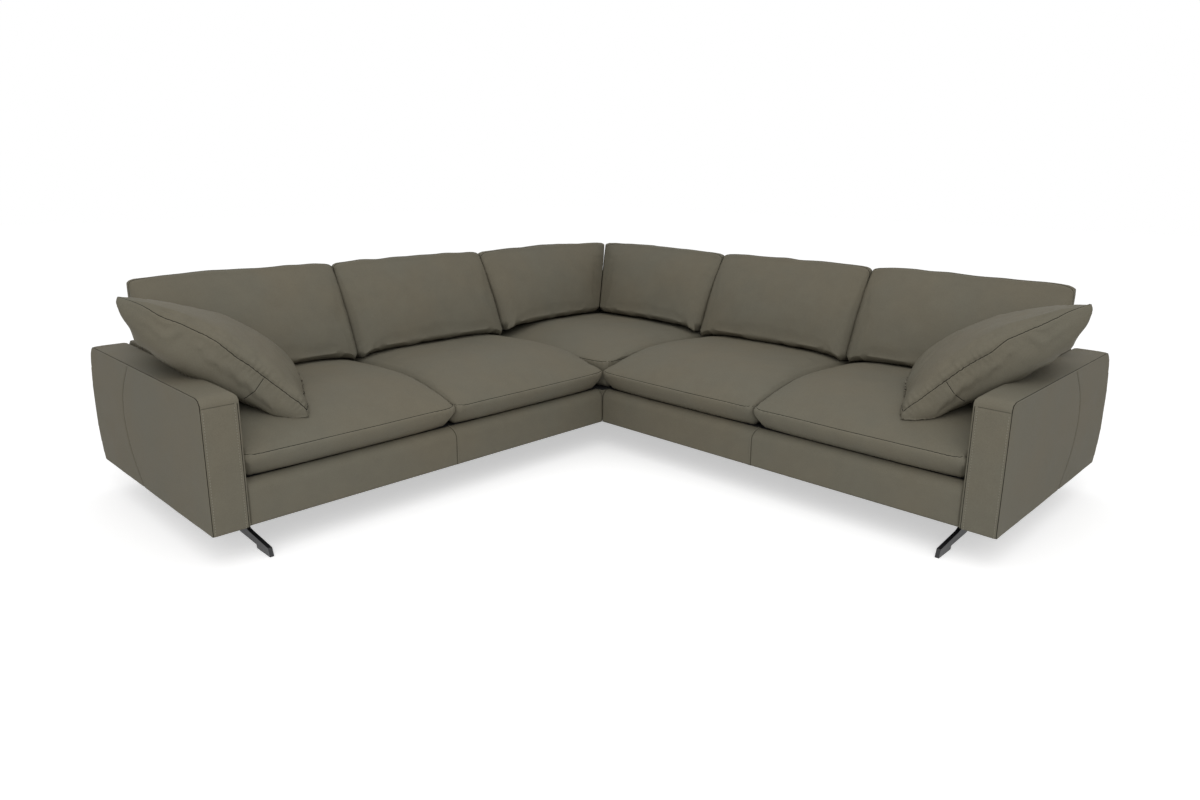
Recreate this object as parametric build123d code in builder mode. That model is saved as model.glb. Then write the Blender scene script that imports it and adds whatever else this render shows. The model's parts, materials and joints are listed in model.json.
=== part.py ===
"""Leather corner sofa: two arm units that slide off a corner unit, with loose cushions."""
import math
import os

from build123d import *

os.makedirs("parts", exist_ok=True)

# Driving sizes in millimetres and degrees. Each wing is laid out by s along it from the inner
# corner, t from the front of its base to the back, and z up from the floor. The right wing is
# drawn and the left one is its mirror image across the diagonal of the plan.
SEAT_W = 850.0  # width of one seat, two to a wing
DEPTH = 1065.0  # front of the base to the back of the sofa
ARM_W = 125.0
ARM_H = 600.0
OVERHANG = 100.0  # scatter cushion beyond the arm
CROWN_Z = 487.0  # top of a seat cushion
CUSHION_TOP = 888.0  # top of a back cushion

# Leather and clearances
COVER = 12.0  # leather with the padding under it
COVER_Z = 130.0  # lower edge of the leather
TURN_UNDER = 3.0  # bare leather folded under the base
FLANGE = 70.0  # reach of that fold
LAP = 1.0  # leather above the straps it stands on
UNIT_GAP = 2.0  # half the gap between two units
SOFT_GAP = 2.0  # half the gap between two cushions
REST = 0.4  # clearance of a loose cushion from what carries it
HOLE_FIT = 0.1  # radial clearance round a screw, stud or tongue
GLUE = 0.1  # glue line between two boards of one frame

# Timber base
FRAME_Z = 136.0  # underside of the timber
RAIL_H = 119.0
TIMBER = 28.0  # thickness of every board
RAIL_IN = 65.0  # back of the sofa to the back of the rear rail
LEG_BLOCK = 40.0  # half the side of the timber block over a leg
FOOT_BLOCK = 15.0  # block over the front foot beyond its plate
CORNER_CROSS = 331.0  # depth of the cross rail of the corner unit

# Platform and lining
LINING = 1.5  # black cloth under the base
LINING_IN = 2.0  # its edge inside the leather
LINING_HOLE = 1.0  # slack of the cloth round a stud or screw
LINING_ARM = 14.0  # its edge inside the outer side of the arm timber
STRAP = 2.5  # thickness of the elastic webbing
STRAP_W = 60.0
STRAP_IN = 2.0  # strap end inside the edge of its rail
STRAPS = 4  # to a seat
PAD = 27.5  # platform pad under the seat cushions
PAD_IN = 5.0  # pad and seat cushions in front of the fixed back

# Front foot: a flat bar on edge, low at the toe and swept up to a plate
FOOT_IN = 60.0  # foot inside the arm
FOOT_W = 15.0
TOE = 13.0  # toe in front of the base
TOE_H = 30.0
TOE_LEAN = 11.0
SOLE_END = 90.0
SOLE_H = 13.0  # height of the bar off the floor behind the sole
SOLE_LEAN = 3.0
BAR_END = 225.0  # where the underside starts to sweep up
BAR_H = 19.0  # its height there
BAR_TOP = 150.0  # where the upper side starts to sweep up
BAR_TOP_H = 45.0
STEM_T = 226.0  # front of the stem under the plate
STEM_L = 112.0
STEM_UNDER = 24.0  # rise of the two arcs of the sweep
STEM_OVER = 20.0
PLATE = 6.5
PLATE_T = 155.0
PLATE_L = 230.0
PLATE_W = 64.0
SCREW_SIDE = 10.0  # screw inside the long edge of the plate
SCREW_END = 20.0  # screw inside the short edge
SCREW_R = 2.5
SCREW_IN = 24.0
SCREW_HEAD = 3.0

# Plain turned legs
LEG_FOOT_R = 20.0
LEG_HEAD_R = 27.0
STUD_R = 4.0
STUD_IN = 34.0  # stud inside the leg
STUD_END = 2.0  # bore beyond the stud
STUD_SHORT = 3.0  # stud end inside its block
MID_LEG = 372.0  # depth of the leg at the joint of two units
CORNER_LEG = 345.0  # legs of the corner unit from the joint

# Bolts of the arm and tongues between the units
BOLT_Z = 195.0
BOLT_IN = 44.0
BOLT_HEAD = 7.0
BOLT_FRONT = 150.0
BOLT_REAR = 175.0  # from the back of the sofa
TONGUE_Z = 191.0
TONGUE_H = 8.0
TONGUE_W = 46.0
TONGUE_IN = 34.0  # tongue inside the corner unit
TONGUE_OUT = 62.0  # tongue inside the wing
TONGUE_FRONT = 250.0
TONGUE_REAR = 265.0  # from the back of the sofa
SOCKET_WALL = 2.5

# Border along the front of a wing
ROLL_Z = 240.0  # where its upright face ends
ROLL = 13.0  # swell of the rolled edge

# Fixed back
BACK_T = 160.0  # thickness at the platform
BACK_TOP = 612.0
BACK_R = 30.0
RAKE = 5.6  # lean in degrees
BACK_BOARD = 3.5
POST_W = 45.0
POST_UP = 5.0  # raked part of a post above the straps
POST_FREE = 3.0  # room over the top board
TOP_BOARD = 22.0
TOP_IN = 4.0  # top board behind the leather
CORNER_POST = 480.0  # middle post of the corner from the joint
FRAME_MITRE = 0.5  # gap between the two halves at the mitre of the corner
SKIN_MITRE = 0.3
END_SKIN = 3.0  # bare leather that closes an end of the fixed back

# Arm
ARM_PROUD = 15.0  # arm in front of the base
ARM_CROWN = 4.0  # rise of the arm top across its width
ARM_BULGE = 16.0  # swell of the outer side at the back
ARM_FRONT_BULGE = 1.0  # swell of it at the front
ARM_FRONT_R = 38.0
ARM_REAR_R = 25.0
ARM_INNER_R = 26.0  # top edge beside the seat
ARM_EDGE_R = 7.0  # top edge along the outer side
ARM_SLACK = 17.0  # padding over the top of the arm timber
ARM_TAIL = 23.0  # padding behind the arm timber
ARM_BAR = 90.0  # height of the lower bar of the arm timber
ARM_TOP_BAR = 90.0  # top bar below the top of the arm
ARM_POST = 70.0  # width of its end posts
ARM_MID = 60.0  # width of its middle post
ARM_OPEN = 25.0  # leather that closes the arm behind the base
ARM_HEM = 5.0  # room under the timber inside the leather

# Seat cushions
SEAM_Z = 375.0  # front seam
CROWN_T = 380.0  # depth of the highest line
REAR_DROP = 25.0  # fall from the crown to the back edge
SEAT_OUT = 18.0  # front seam in front of the base
SEAT_FOOT = 12.0  # front of the flat underside
SEAT_BOW = 12.0  # swell of the front between underside and seam
SEAM_PINCH = 20.0  # how far each line is drawn in at the ends of a cushion
FOOT_PINCH = 28.0
SEAM_UP = 5.0
CROWN_PINCH = 38.0
REAR_PINCH = 38.0
CORNER_OUT = 2.0  # front seam of the corner cushion inside its gap
CORNER_FOOT = 24.0
CORNER_SEAM_UP = 45.0
CORNER_CROWN_UP = 8.0
CORNER_REAR_DROP = 24.0
CORNER_PINCH = 30.0
CORNER_CROWN_PINCH = 45.0

# Back cushions
LEAN_T = 213.0  # foot of the cushion in front of the fixed back
TOP_BACK = 128.0  # highest line in front of the back of the sofa
SEAT_CLEAR = 1.5  # foot of the cushion above the seat
HEEL = 16.0  # fall of the underside towards the back
TOP_ROUND = 20.0  # height of the rounded top
TOP_FRONT = 34.0  # length of it in front of the highest line
TOP_REAR = 4.0  # fall of it at the back
BACK_BOW = 34.0  # swell of the front
FOOT_DRAW = 24.0  # how far each line is drawn in at the ends
TOP_DRAW = 16.0
FRONT_DRAW = 10.0
BOW_DRAW = 20.0
CORNER_LIFT = 16.0  # cushions on the higher corner seat stand higher
CORNER_FALL = 32.0  # fall of their foot towards the joint of the units
FAN_GAPS = 2.5  # line that the corner sections turn about, in gaps from the inner corner

# Scatter cushion that leans on the arm
SCATTER_L = 552.0  # lower to upper seam in plan
SCATTER_W = 480.0
SCATTER_TURN = 21.0  # turn in plan in degrees
SCATTER_T = 602.0  # front end before the foot of the back cushion
SCATTER_FOOT = 100.0  # lower seam below the arm top before it is let down
SCATTER_HEAD = 362.0  # upper seam above the arm top before it is let down
SCATTER_FOOT_TWIST = 82.0  # rise of the lower seam over the crown of the seat
SCATTER_HEAD_TWIST = 80.0  # fall of the upper seam towards the back end
SCATTER_UP = 98.0  # swell of the upper side
SCATTER_ARCH = 58.0  # rise of the front and back seams between their ends
SCATTER_CHEEK = 112.0  # depth of the under side near the upper seam
SCATTER_CHEEK_AT = 0.85  # place of it along the section
SCATTER_JAW = 44.0  # depth of the under side near the lower seam
SCATTER_JAW_AT = 0.2
SCATTER_LOBE = 42.0  # more depth there at the front end
SCATTER_FADE = 3  # how soon that fades
SCATTER_ROUND = 9.0  # swell of each stretch of the under side
SCATTER_DRAW = 15.0  # seams drawn in at the fullest section
SETTLED = 0.05
SETTLE_STEPS = 40

# Sections along a cushion: share of its length, and share by which the ends are drawn in
STATIONS = [(0.0, 1.0), (0.05, 0.55), (0.17, 0.14), (0.5, 0.0), (0.83, 0.14), (0.95, 0.55), (1.0, 1.0)]
# Sections along a scatter cushion: share of its width, and share of its full swell
SCATTER_STATIONS = [(0.0, 0.25), (0.035, 0.75), (0.12, 0.95), (0.5, 1.0), (0.88, 0.95), (0.965, 0.75),
                    (1.0, 0.25)]

# Places that follow from the sizes
WING = 2 * SEAT_W
OUTER = WING + ARM_W + OVERHANG
CX = -(OUTER - DEPTH) / 2
CY = (OUTER - DEPTH) / 2
RAIL_TOP = FRAME_Z + RAIL_H
RAIL_Z = (FRAME_Z, RAIL_TOP)
BLOCK_Z = (FRAME_Z, FRAME_Z + TIMBER)
LINING_Z = (FRAME_Z - LINING, FRAME_Z)
DECK_Z = RAIL_TOP + STRAP
DECK_TOP = DECK_Z + PAD
LEG_TOP = FRAME_Z - LINING
PLATE_Z = (LEG_TOP - PLATE, LEG_TOP)
SLOPE = math.tan(math.radians(RAKE))
BACK_FACE = DEPTH - BACK_T
BACK_RAIL = DEPTH - RAIL_IN
INNER = BACK_RAIL - TIMBER
POST_BACK = BACK_RAIL + TIMBER
SEAT_END = BACK_FACE - PAD_IN
ARM_IN = WING + COVER
ARM_OUT = WING + ARM_W - COVER
ARM_END = DEPTH - COVER - ARM_TAIL
CORNER_IN = -UNIT_GAP
FOOT_S = WING - FOOT_IN
SCREW_S = PLATE_W / 2 - SCREW_SIDE
PLATE_SCREWS = [(FOOT_S + side * SCREW_S, t) for side in (-1, 1)
                for t in (PLATE_T + SCREW_END, PLATE_T + PLATE_L - SCREW_END)]
REAR_LEG = INNER - LEG_BLOCK
INNER_LEG = UNIT_GAP + TIMBER + LEG_BLOCK
WING_LEGS = [(INNER_LEG, MID_LEG), (INNER_LEG, REAR_LEG), (ARM_IN - TIMBER - LEG_BLOCK, REAR_LEG)]
CROSS_LEG = CORNER_CROSS + TIMBER + LEG_BLOCK
CORNER_LEGS = [(-CORNER_LEG, CROSS_LEG), (-REAR_LEG, CROSS_LEG), (-CORNER_LEG, REAR_LEG),
               (-REAR_LEG, REAR_LEG)]
ARM_BOLTS = [BOLT_FRONT, (BOLT_FRONT + DEPTH - BOLT_REAR) / 2, DEPTH - BOLT_REAR]
TONGUES = [TONGUE_FRONT, DEPTH - TONGUE_REAR]
DIAGONAL = Plane(origin=(0, 0, 0), x_dir=(0, 0, 1), z_dir=(1, 1, 0))


def back_at(z):
    """Depth of the raked front of the fixed back at height z."""
    return BACK_FACE + (z - DECK_TOP) * SLOPE


def block(s, t, z, mode=Mode.ADD):
    """Box between two positions along the wing, two across it and two heights."""
    with Locations((CX + (s[0] + s[1]) / 2, CY + (t[0] + t[1]) / 2, (z[0] + z[1]) / 2)):
        Box(s[1] - s[0], t[1] - t[0], z[1] - z[0], mode=mode)


def pin(s, t, z, radius, mode=Mode.ADD):
    """Upright cylinder at one place of the wing between two heights."""
    with Locations((CX + s, CY + t, (z[0] + z[1]) / 2)):
        Cylinder(radius, z[1] - z[0], mode=mode)


def rod(s, t, z, radius, mode=Mode.ADD):
    """Cylinder along the wing between two positions."""
    with Locations((CX + (s[0] + s[1]) / 2, CY + t, z)):
        Cylinder(radius, s[1] - s[0], rotation=(0, 90, 0), mode=mode)


def across(s):
    """Plane across the wing at s, with t along its first axis and z along its second."""
    return Plane(origin=(CX + s, CY, 0), x_dir=(0, 1, 0), z_dir=(1, 0, 0))


def bowed(start, end, rise):
    """Arc that stands off the straight line to its left by the rise."""
    dx = end[0] - start[0]
    dy = end[1] - start[1]
    length = math.hypot(dx, dy)
    middle = ((start[0] + end[0] - 2 * rise * dy / length) / 2,
              (start[1] + end[1] + 2 * rise * dx / length) / 2)
    return ThreePointArc(start, middle, end)


def corner_half(gap):
    """Cut the body in hand at the mitre of the corner unit and keep the right half."""
    mitre = Plane(origin=(gap / 2, gap / 2, 0), x_dir=(0, 0, 1), z_dir=(1, 1, 0))
    split(bisect_by=mitre, keep=Keep.TOP)


# Legs: one long low foot at the front of each wing, plain turned legs elsewhere.
def leg_blocks(places):
    """Timber block over each leg, bored for its stud."""
    side = LEG_BLOCK - GLUE
    for s, t in places:
        block((s - side, s + side), (t - side, t + side), BLOCK_Z)
        pin(s, t, BLOCK_Z, STUD_R + HOLE_FIT, Mode.SUBTRACT)


def turned_legs(places):
    """Plain tapered legs with a blind bore for the stud."""
    for s, t in places:
        with Locations((CX + s, CY + t, LEG_TOP / 2)):
            Cone(LEG_FOOT_R, LEG_HEAD_R, LEG_TOP)
        pin(s, t, (LEG_TOP - STUD_IN - STUD_END, LEG_TOP), STUD_R + HOLE_FIT, Mode.SUBTRACT)


def studs(places):
    """Threaded studs that join the legs to their blocks."""
    for s, t in places:
        pin(s, t, (LEG_TOP - STUD_IN, FRAME_Z + TIMBER - STUD_SHORT), STUD_R)


def lining_holes(places, radius):
    """Holes of the lining cloth round studs or screws."""
    for s, t in places:
        pin(s, t, LINING_Z, radius + LINING_HOLE, Mode.SUBTRACT)


with BuildPart() as right_front_leg:
    with BuildSketch(across(FOOT_S - FOOT_W / 2)):
        with BuildLine():
            Polyline((BAR_TOP, BAR_TOP_H), (TOE_LEAN - TOE, TOE_H), (-TOE, 0), (SOLE_END, 0),
                     (SOLE_END + SOLE_LEAN, SOLE_H), (BAR_END, BAR_H))
            bowed((BAR_END, BAR_H), (STEM_T + STEM_L, PLATE_Z[0]), -STEM_UNDER)
            Line((STEM_T + STEM_L, PLATE_Z[0]), (STEM_T, PLATE_Z[0]))
            bowed((STEM_T, PLATE_Z[0]), (BAR_TOP, BAR_TOP_H), STEM_OVER)
        make_face()
    extrude(amount=FOOT_W)
    block((FOOT_S - PLATE_W / 2, FOOT_S + PLATE_W / 2), (PLATE_T, PLATE_T + PLATE_L), PLATE_Z)
    for s, t in PLATE_SCREWS:
        pin(s, t, PLATE_Z, SCREW_R + HOLE_FIT, Mode.SUBTRACT)
right_front_leg.part.label = "right_front_leg"

with BuildPart() as right_support_legs:
    turned_legs(WING_LEGS)
right_support_legs.part.label = "right_support_legs"

with BuildPart() as right_leg_fixings:
    studs(WING_LEGS)
    for s, t in PLATE_SCREWS:
        pin(s, t, (PLATE_Z[0] - SCREW_HEAD, PLATE_Z[0]), 2 * SCREW_R)
        pin(s, t, (PLATE_Z[0], LEG_TOP + SCREW_IN), SCREW_R)
right_leg_fixings.part.label = "right_leg_fixings"

# Timber base of a wing: long rails, three cross rails and the blocks over the legs.
CROSS = [(UNIT_GAP, UNIT_GAP + TIMBER), (SEAT_W - TIMBER / 2, SEAT_W + TIMBER / 2),
         (ARM_IN - TIMBER, ARM_IN)]

with BuildPart() as right_base_frame:
    block((UNIT_GAP, ARM_IN), (COVER, COVER + TIMBER), RAIL_Z)
    block((UNIT_GAP, ARM_IN), (INNER, BACK_RAIL), RAIL_Z)
    for s in CROSS:
        block(s, (COVER + TIMBER + GLUE, INNER - GLUE), RAIL_Z)
    leg_blocks(WING_LEGS)
    block((FOOT_S - LEG_BLOCK, ARM_IN - TIMBER - GLUE),
          (COVER + TIMBER + GLUE, PLATE_T + PLATE_L + FOOT_BLOCK), BLOCK_Z)
    for s, t in PLATE_SCREWS:
        pin(s, t, BLOCK_Z, SCREW_R + HOLE_FIT, Mode.SUBTRACT)
    for t in ARM_BOLTS:
        rod((ARM_IN - TIMBER, ARM_IN), t, BOLT_Z, STUD_R + HOLE_FIT, Mode.SUBTRACT)
    for t in TONGUES:
        block(CROSS[0], (t - TONGUE_W / 2 - HOLE_FIT, t + TONGUE_W / 2 + HOLE_FIT),
              (TONGUE_Z - HOLE_FIT, TONGUE_Z + TONGUE_H + HOLE_FIT), Mode.SUBTRACT)
right_base_frame.part.label = "right_base_frame"

with BuildPart() as right_tongues:
    for t in TONGUES:
        block((-TONGUE_IN, TONGUE_OUT), (t - TONGUE_W / 2, t + TONGUE_W / 2),
              (TONGUE_Z, TONGUE_Z + TONGUE_H))
right_tongues.part.label = "right_tongues"

with BuildPart() as right_seat_webbing:
    for i in range(2 * STRAPS):
        middle = (i + 0.5) * SEAT_W / STRAPS
        block((middle - STRAP_W / 2, middle + STRAP_W / 2), (COVER + STRAP_IN, BACK_RAIL - STRAP_IN),
              (RAIL_TOP, DECK_Z))
right_seat_webbing.part.label = "right_seat_webbing"

with BuildPart() as right_seat_deck:
    block((UNIT_GAP, WING), (COVER + TIMBER, SEAT_END), (DECK_Z, DECK_TOP))
right_seat_deck.part.label = "right_seat_deck"

with BuildPart() as right_dust_cover:
    block((UNIT_GAP + LINING_IN, ARM_OUT - LINING_ARM), (COVER + LINING_IN, POST_BACK), LINING_Z)
    lining_holes(WING_LEGS, STUD_R)
    lining_holes(PLATE_SCREWS, SCREW_R)
right_dust_cover.part.label = "right_dust_cover"

# Padded leather border along the front of a wing, rolled back over the platform edge.
with BuildPart() as right_base_cover:
    with BuildSketch(across(UNIT_GAP)):
        with BuildLine():
            Line((0, COVER_Z), (0, ROLL_Z))
            bowed((0, ROLL_Z), (COVER + TIMBER, DECK_TOP), ROLL)
            Polyline((COVER + TIMBER, DECK_TOP), (COVER + TIMBER, DECK_Z + LAP),
                     (COVER, DECK_Z + LAP), (COVER, COVER_Z + TURN_UNDER),
                     (FLANGE, COVER_Z + TURN_UNDER), (FLANGE, COVER_Z), (0, COVER_Z))
        make_face()
    extrude(amount=WING - UNIT_GAP)
right_base_cover.part.label = "right_base_cover"

# Fixed back: raked posts with a top board, a thin board on their fronts, and the leather over it.
FOAM_T = COVER / math.cos(math.radians(RAKE))
BOARD_T = BACK_BOARD / math.cos(math.radians(RAKE))
POST_Z = DECK_Z + POST_UP
POST_TOP = BACK_TOP - COVER - TOP_BOARD - POST_FREE
TOP_T = (back_at(POST_TOP) + FOAM_T + TOP_IN, POST_BACK)
TOP_Z = (POST_TOP + GLUE, POST_TOP + TOP_BOARD)
BACK_LOW = DECK_Z + LAP
BACK_ENDS = (UNIT_GAP + END_SKIN, WING - END_SKIN)


def back_skin(s):
    """Leather over the fixed back, open below, drawn as one bent strip."""
    under = BACK_TOP - COVER
    with BuildSketch(across(s)) as strip:
        with BuildLine():
            Polyline((back_at(BACK_LOW), BACK_LOW), (back_at(BACK_TOP), BACK_TOP), (DEPTH, BACK_TOP),
                     (DEPTH, COVER_Z), (DEPTH - COVER, COVER_Z), (DEPTH - COVER, under),
                     (back_at(under) + FOAM_T, under), (back_at(BACK_LOW) + FOAM_T, BACK_LOW),
                     (back_at(BACK_LOW), BACK_LOW))
        make_face()
        fillet(strip.vertices().sort_by(Axis.Y)[-2:], BACK_R)
    return strip.sketch


def back_end(s):
    """Bare leather across an end of the fixed back, down to the straps."""
    with BuildSketch(across(s)) as end:
        with BuildLine():
            Polyline((back_at(BACK_LOW), BACK_LOW), (back_at(BACK_TOP), BACK_TOP), (DEPTH, BACK_TOP),
                     (DEPTH, BACK_LOW), (back_at(BACK_LOW), BACK_LOW))
        make_face()
        fillet(end.vertices().sort_by(Axis.Y)[-2:], BACK_R)
    return end.sketch


def back_post(s):
    """One raked post standing behind the base."""
    front = FOAM_T + BOARD_T
    with BuildSketch(across(s)) as post:
        with BuildLine():
            Polyline((back_at(POST_Z) + front, POST_Z), (back_at(POST_TOP) + front, POST_TOP),
                     (POST_BACK, POST_TOP), (POST_BACK, FRAME_Z), (BACK_RAIL, FRAME_Z),
                     (BACK_RAIL, POST_Z), (back_at(POST_Z) + front, POST_Z))
        make_face()
    extrude(post.sketch, amount=POST_W)


def back_board(s):
    """Section of the thin board between the posts and the leather."""
    with BuildSketch(across(s)) as board:
        with BuildLine():
            Polyline((back_at(POST_Z) + FOAM_T, POST_Z), (back_at(POST_TOP) + FOAM_T, POST_TOP),
                     (back_at(POST_TOP) + FOAM_T + BOARD_T, POST_TOP),
                     (back_at(POST_Z) + FOAM_T + BOARD_T, POST_Z),
                     (back_at(POST_Z) + FOAM_T, POST_Z))
        make_face()
    return board.sketch


with BuildPart() as right_back_frame:
    for s in (BACK_ENDS[0], WING / 3 - POST_W / 2, 2 * WING / 3 - POST_W / 2, BACK_ENDS[1] - POST_W):
        back_post(s)
    block(BACK_ENDS, TOP_T, TOP_Z)
right_back_frame.part.label = "right_back_frame"

with BuildPart() as right_back_board:
    extrude(back_board(BACK_ENDS[0]), amount=BACK_ENDS[1] - BACK_ENDS[0])
right_back_board.part.label = "right_back_board"

with BuildPart() as right_back_cover:
    extrude(back_skin(UNIT_GAP), amount=WING - UNIT_GAP)
    extrude(back_end(UNIT_GAP), amount=END_SKIN)
    extrude(back_end(BACK_ENDS[1]), amount=END_SKIN)
right_back_cover.part.label = "right_back_cover"

# Arm: a timber ring bolted to the last cross rail, and the padded leather drawn over it.
ARM_WINDOWS = [(ARM_POST, (ARM_END - ARM_MID) / 2), ((ARM_END + ARM_MID) / 2, ARM_END - ARM_POST)]

with BuildPart() as right_arm_frame:
    block((ARM_IN, ARM_OUT), (COVER - ARM_PROUD, ARM_END),
          (FRAME_Z, ARM_H - ARM_CROWN - COVER - ARM_SLACK))
    rear = edges().filter_by(Axis.Z).sort_by(lambda e: e.center().X + e.center().Y)[-1]
    chamfer(rear, ARM_REAR_R / 2)
    front = edges().filter_by(Axis.X).sort_by(lambda e: e.center().Z - e.center().Y)[-1]
    chamfer(front, ARM_FRONT_R / 2)
    for t in ARM_WINDOWS:
        block((ARM_IN, ARM_OUT), t, (FRAME_Z + ARM_BAR, ARM_H - ARM_TOP_BAR), Mode.SUBTRACT)
    for t in ARM_BOLTS:
        rod((ARM_IN, ARM_IN + BOLT_IN + STUD_END), t, BOLT_Z, STUD_R + HOLE_FIT, Mode.SUBTRACT)
right_arm_frame.part.label = "right_arm_frame"

with BuildPart() as right_arm_bolts:
    for t in ARM_BOLTS:
        rod((ARM_IN - TIMBER - BOLT_HEAD, ARM_IN - TIMBER), t, BOLT_Z, 2 * STUD_R)
        rod((ARM_IN - TIMBER, ARM_IN + BOLT_IN), t, BOLT_Z, STUD_R)
right_arm_bolts.part.label = "right_arm_bolts"


def arm_section(inset, floor, t, bulge):
    """Section across the arm at one depth: flat inner side, low crown and swelling outer side."""
    shoulder = ARM_H - ARM_CROWN - inset
    inner = WING + inset
    outer = WING + ARM_W - inset
    with BuildSketch(Plane(origin=(CX, CY + t, 0), x_dir=(1, 0, 0), z_dir=(0, -1, 0))) as section:
        with BuildLine():
            Line((inner, floor), (inner, shoulder))
            ThreePointArc((inner, shoulder), (WING + ARM_W / 2, ARM_H - inset), (outer, shoulder))
            bowed((outer, shoulder), (outer, floor), bulge)
            Line((outer, floor), (inner, floor))
        make_face()
        edge, crest = section.vertices().sort_by(Axis.Y)[-2:].sort_by(Axis.X)
        fillet(edge, ARM_INNER_R - inset)
        fillet(crest, ARM_EDGE_R)
    return section.sketch


def arm_body(inset, floor, bulges):
    """Arm inside the given inset: side outline, two sections across it, and plan outline."""
    top = ARM_H - inset
    s = (WING + inset, WING + ARM_W - inset + ARM_BULGE)
    t = (inset - ARM_PROUD, DEPTH - inset)
    with BuildSketch(across(s[0])) as side:
        with BuildLine():
            Polyline((t[0], floor), (t[0], top), (t[1], top), (t[1], floor), close=True)
        make_face()
        fillet(side.vertices().sort_by(Axis.Y)[-2:], ARM_FRONT_R - inset)
    extrude(side.sketch, amount=s[1] - s[0])
    loft([arm_section(inset, floor, depth, bulge) for depth, bulge in zip(t, bulges)], ruled=True,
         mode=Mode.INTERSECT)
    with BuildSketch(Plane(origin=(CX, CY, floor))) as plan:
        with BuildLine():
            Polyline((s[0], t[0]), (s[1], t[0]), (s[1], t[1]), (s[0], t[1]), close=True)
        make_face()
        fillet(plan.vertices().sort_by(lambda v: v.X + v.Y)[-1], ARM_REAR_R - inset)
    extrude(plan.sketch, amount=ARM_H, mode=Mode.INTERSECT)


with BuildPart() as arm_hollow:
    arm_body(COVER, COVER_Z - ARM_HEM, (ARM_FRONT_BULGE, ARM_FRONT_BULGE))

with BuildPart() as right_arm_cover:
    arm_body(0, COVER_Z, (ARM_FRONT_BULGE, ARM_BULGE))
    add(arm_hollow.part, mode=Mode.SUBTRACT)
    block((WING - COVER, ARM_IN), (0, DEPTH - ARM_OPEN), (COVER_Z - ARM_HEM, DECK_TOP), Mode.SUBTRACT)
right_arm_cover.part.label = "right_arm_cover"


# Corner unit: a square base, two mitred backs and its own platform.
def sockets(wall, mode=Mode.ADD):
    """Openings for the tongues in the two rails of the corner unit, grown by the wall."""
    grown = 2 * HOLE_FIT + wall
    half = TONGUE_W / 2 + grown
    z = (TONGUE_Z - grown, TONGUE_Z + TONGUE_H + grown)
    for t in TONGUES:
        block((CORNER_IN - TIMBER, CORNER_IN), (t - half, t + half), z, mode)
        block((-t - half, -t + half), (UNIT_GAP, UNIT_GAP + TIMBER), z, mode)


with BuildPart() as corner_base_frame:
    block((CORNER_IN - TIMBER, CORNER_IN), (UNIT_GAP, INNER - GLUE), RAIL_Z)
    block((GLUE - INNER, CORNER_IN - TIMBER - GLUE), (UNIT_GAP, UNIT_GAP + TIMBER), RAIL_Z)
    block((GLUE - INNER, CORNER_IN), (INNER, BACK_RAIL), RAIL_Z)
    block((-BACK_RAIL, -INNER), (UNIT_GAP, BACK_RAIL), RAIL_Z)
    block((GLUE - INNER, CORNER_IN - TIMBER - GLUE), (CORNER_CROSS, CORNER_CROSS + TIMBER), RAIL_Z)
    leg_blocks(CORNER_LEGS)
    sockets(SOCKET_WALL, Mode.SUBTRACT)
corner_base_frame.part.label = "corner_base_frame"

with BuildPart() as corner_sockets:
    sockets(SOCKET_WALL)
    sockets(0, Mode.SUBTRACT)
corner_sockets.part.label = "corner_sockets"

with BuildPart() as corner_support_legs:
    turned_legs(CORNER_LEGS)
corner_support_legs.part.label = "corner_support_legs"

with BuildPart() as corner_leg_fixings:
    studs(CORNER_LEGS)
corner_leg_fixings.part.label = "corner_leg_fixings"

with BuildPart() as corner_seat_webbing:
    for i in range(STRAPS):
        middle = -(i + 0.5) * INNER / STRAPS
        block((middle - STRAP_W / 2, middle + STRAP_W / 2), (UNIT_GAP, BACK_RAIL - STRAP_IN),
              (RAIL_TOP, DECK_Z))
corner_seat_webbing.part.label = "corner_seat_webbing"

with BuildPart() as corner_seat_deck:
    block((-SEAT_END, CORNER_IN), (UNIT_GAP, SEAT_END), (DECK_Z, DECK_TOP))
corner_seat_deck.part.label = "corner_seat_deck"

with BuildPart() as corner_dust_cover:
    edge = DEPTH - COVER - LINING_IN
    block((-edge, CORNER_IN - LINING_IN), (UNIT_GAP + LINING_IN, edge), LINING_Z)
    lining_holes(CORNER_LEGS, STUD_R)
corner_dust_cover.part.label = "corner_dust_cover"

with BuildPart() as corner_back_half:
    for s in (-BACK_ENDS[0] - POST_W, -CORNER_POST, POST_W - BACK_FACE):
        back_post(s)
    block((-DEPTH, -BACK_ENDS[0]), TOP_T, TOP_Z)
    corner_half(FRAME_MITRE)

with BuildPart() as corner_back_frame:
    add(corner_back_half.part)
    mirror(corner_back_half.part, about=DIAGONAL)
corner_back_frame.part.label = "corner_back_frame"

with BuildPart() as board_half:
    extrude(back_board(-DEPTH), amount=DEPTH - BACK_ENDS[0])
    corner_half(FRAME_MITRE)

with BuildPart() as corner_back_board:
    add(board_half.part)
    mirror(board_half.part, about=DIAGONAL)
corner_back_board.part.label = "corner_back_board"

with BuildPart() as right_corner_back_cover:
    extrude(back_skin(-DEPTH), amount=DEPTH - UNIT_GAP)
    extrude(back_end(-BACK_ENDS[0]), amount=END_SKIN)
    corner_half(SKIN_MITRE)
right_corner_back_cover.part.label = "right_corner_back_cover"


# Seat cushions, each lofted through a row of sections with drawn-in ends.
def arc_height(reach, drop, share):
    """Height below its top, at a share of its reach, of an arc that falls by the drop."""
    radius = (reach ** 2 + drop ** 2) / (2 * drop)
    return radius - math.sqrt(radius ** 2 - (share * reach) ** 2)


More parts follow.
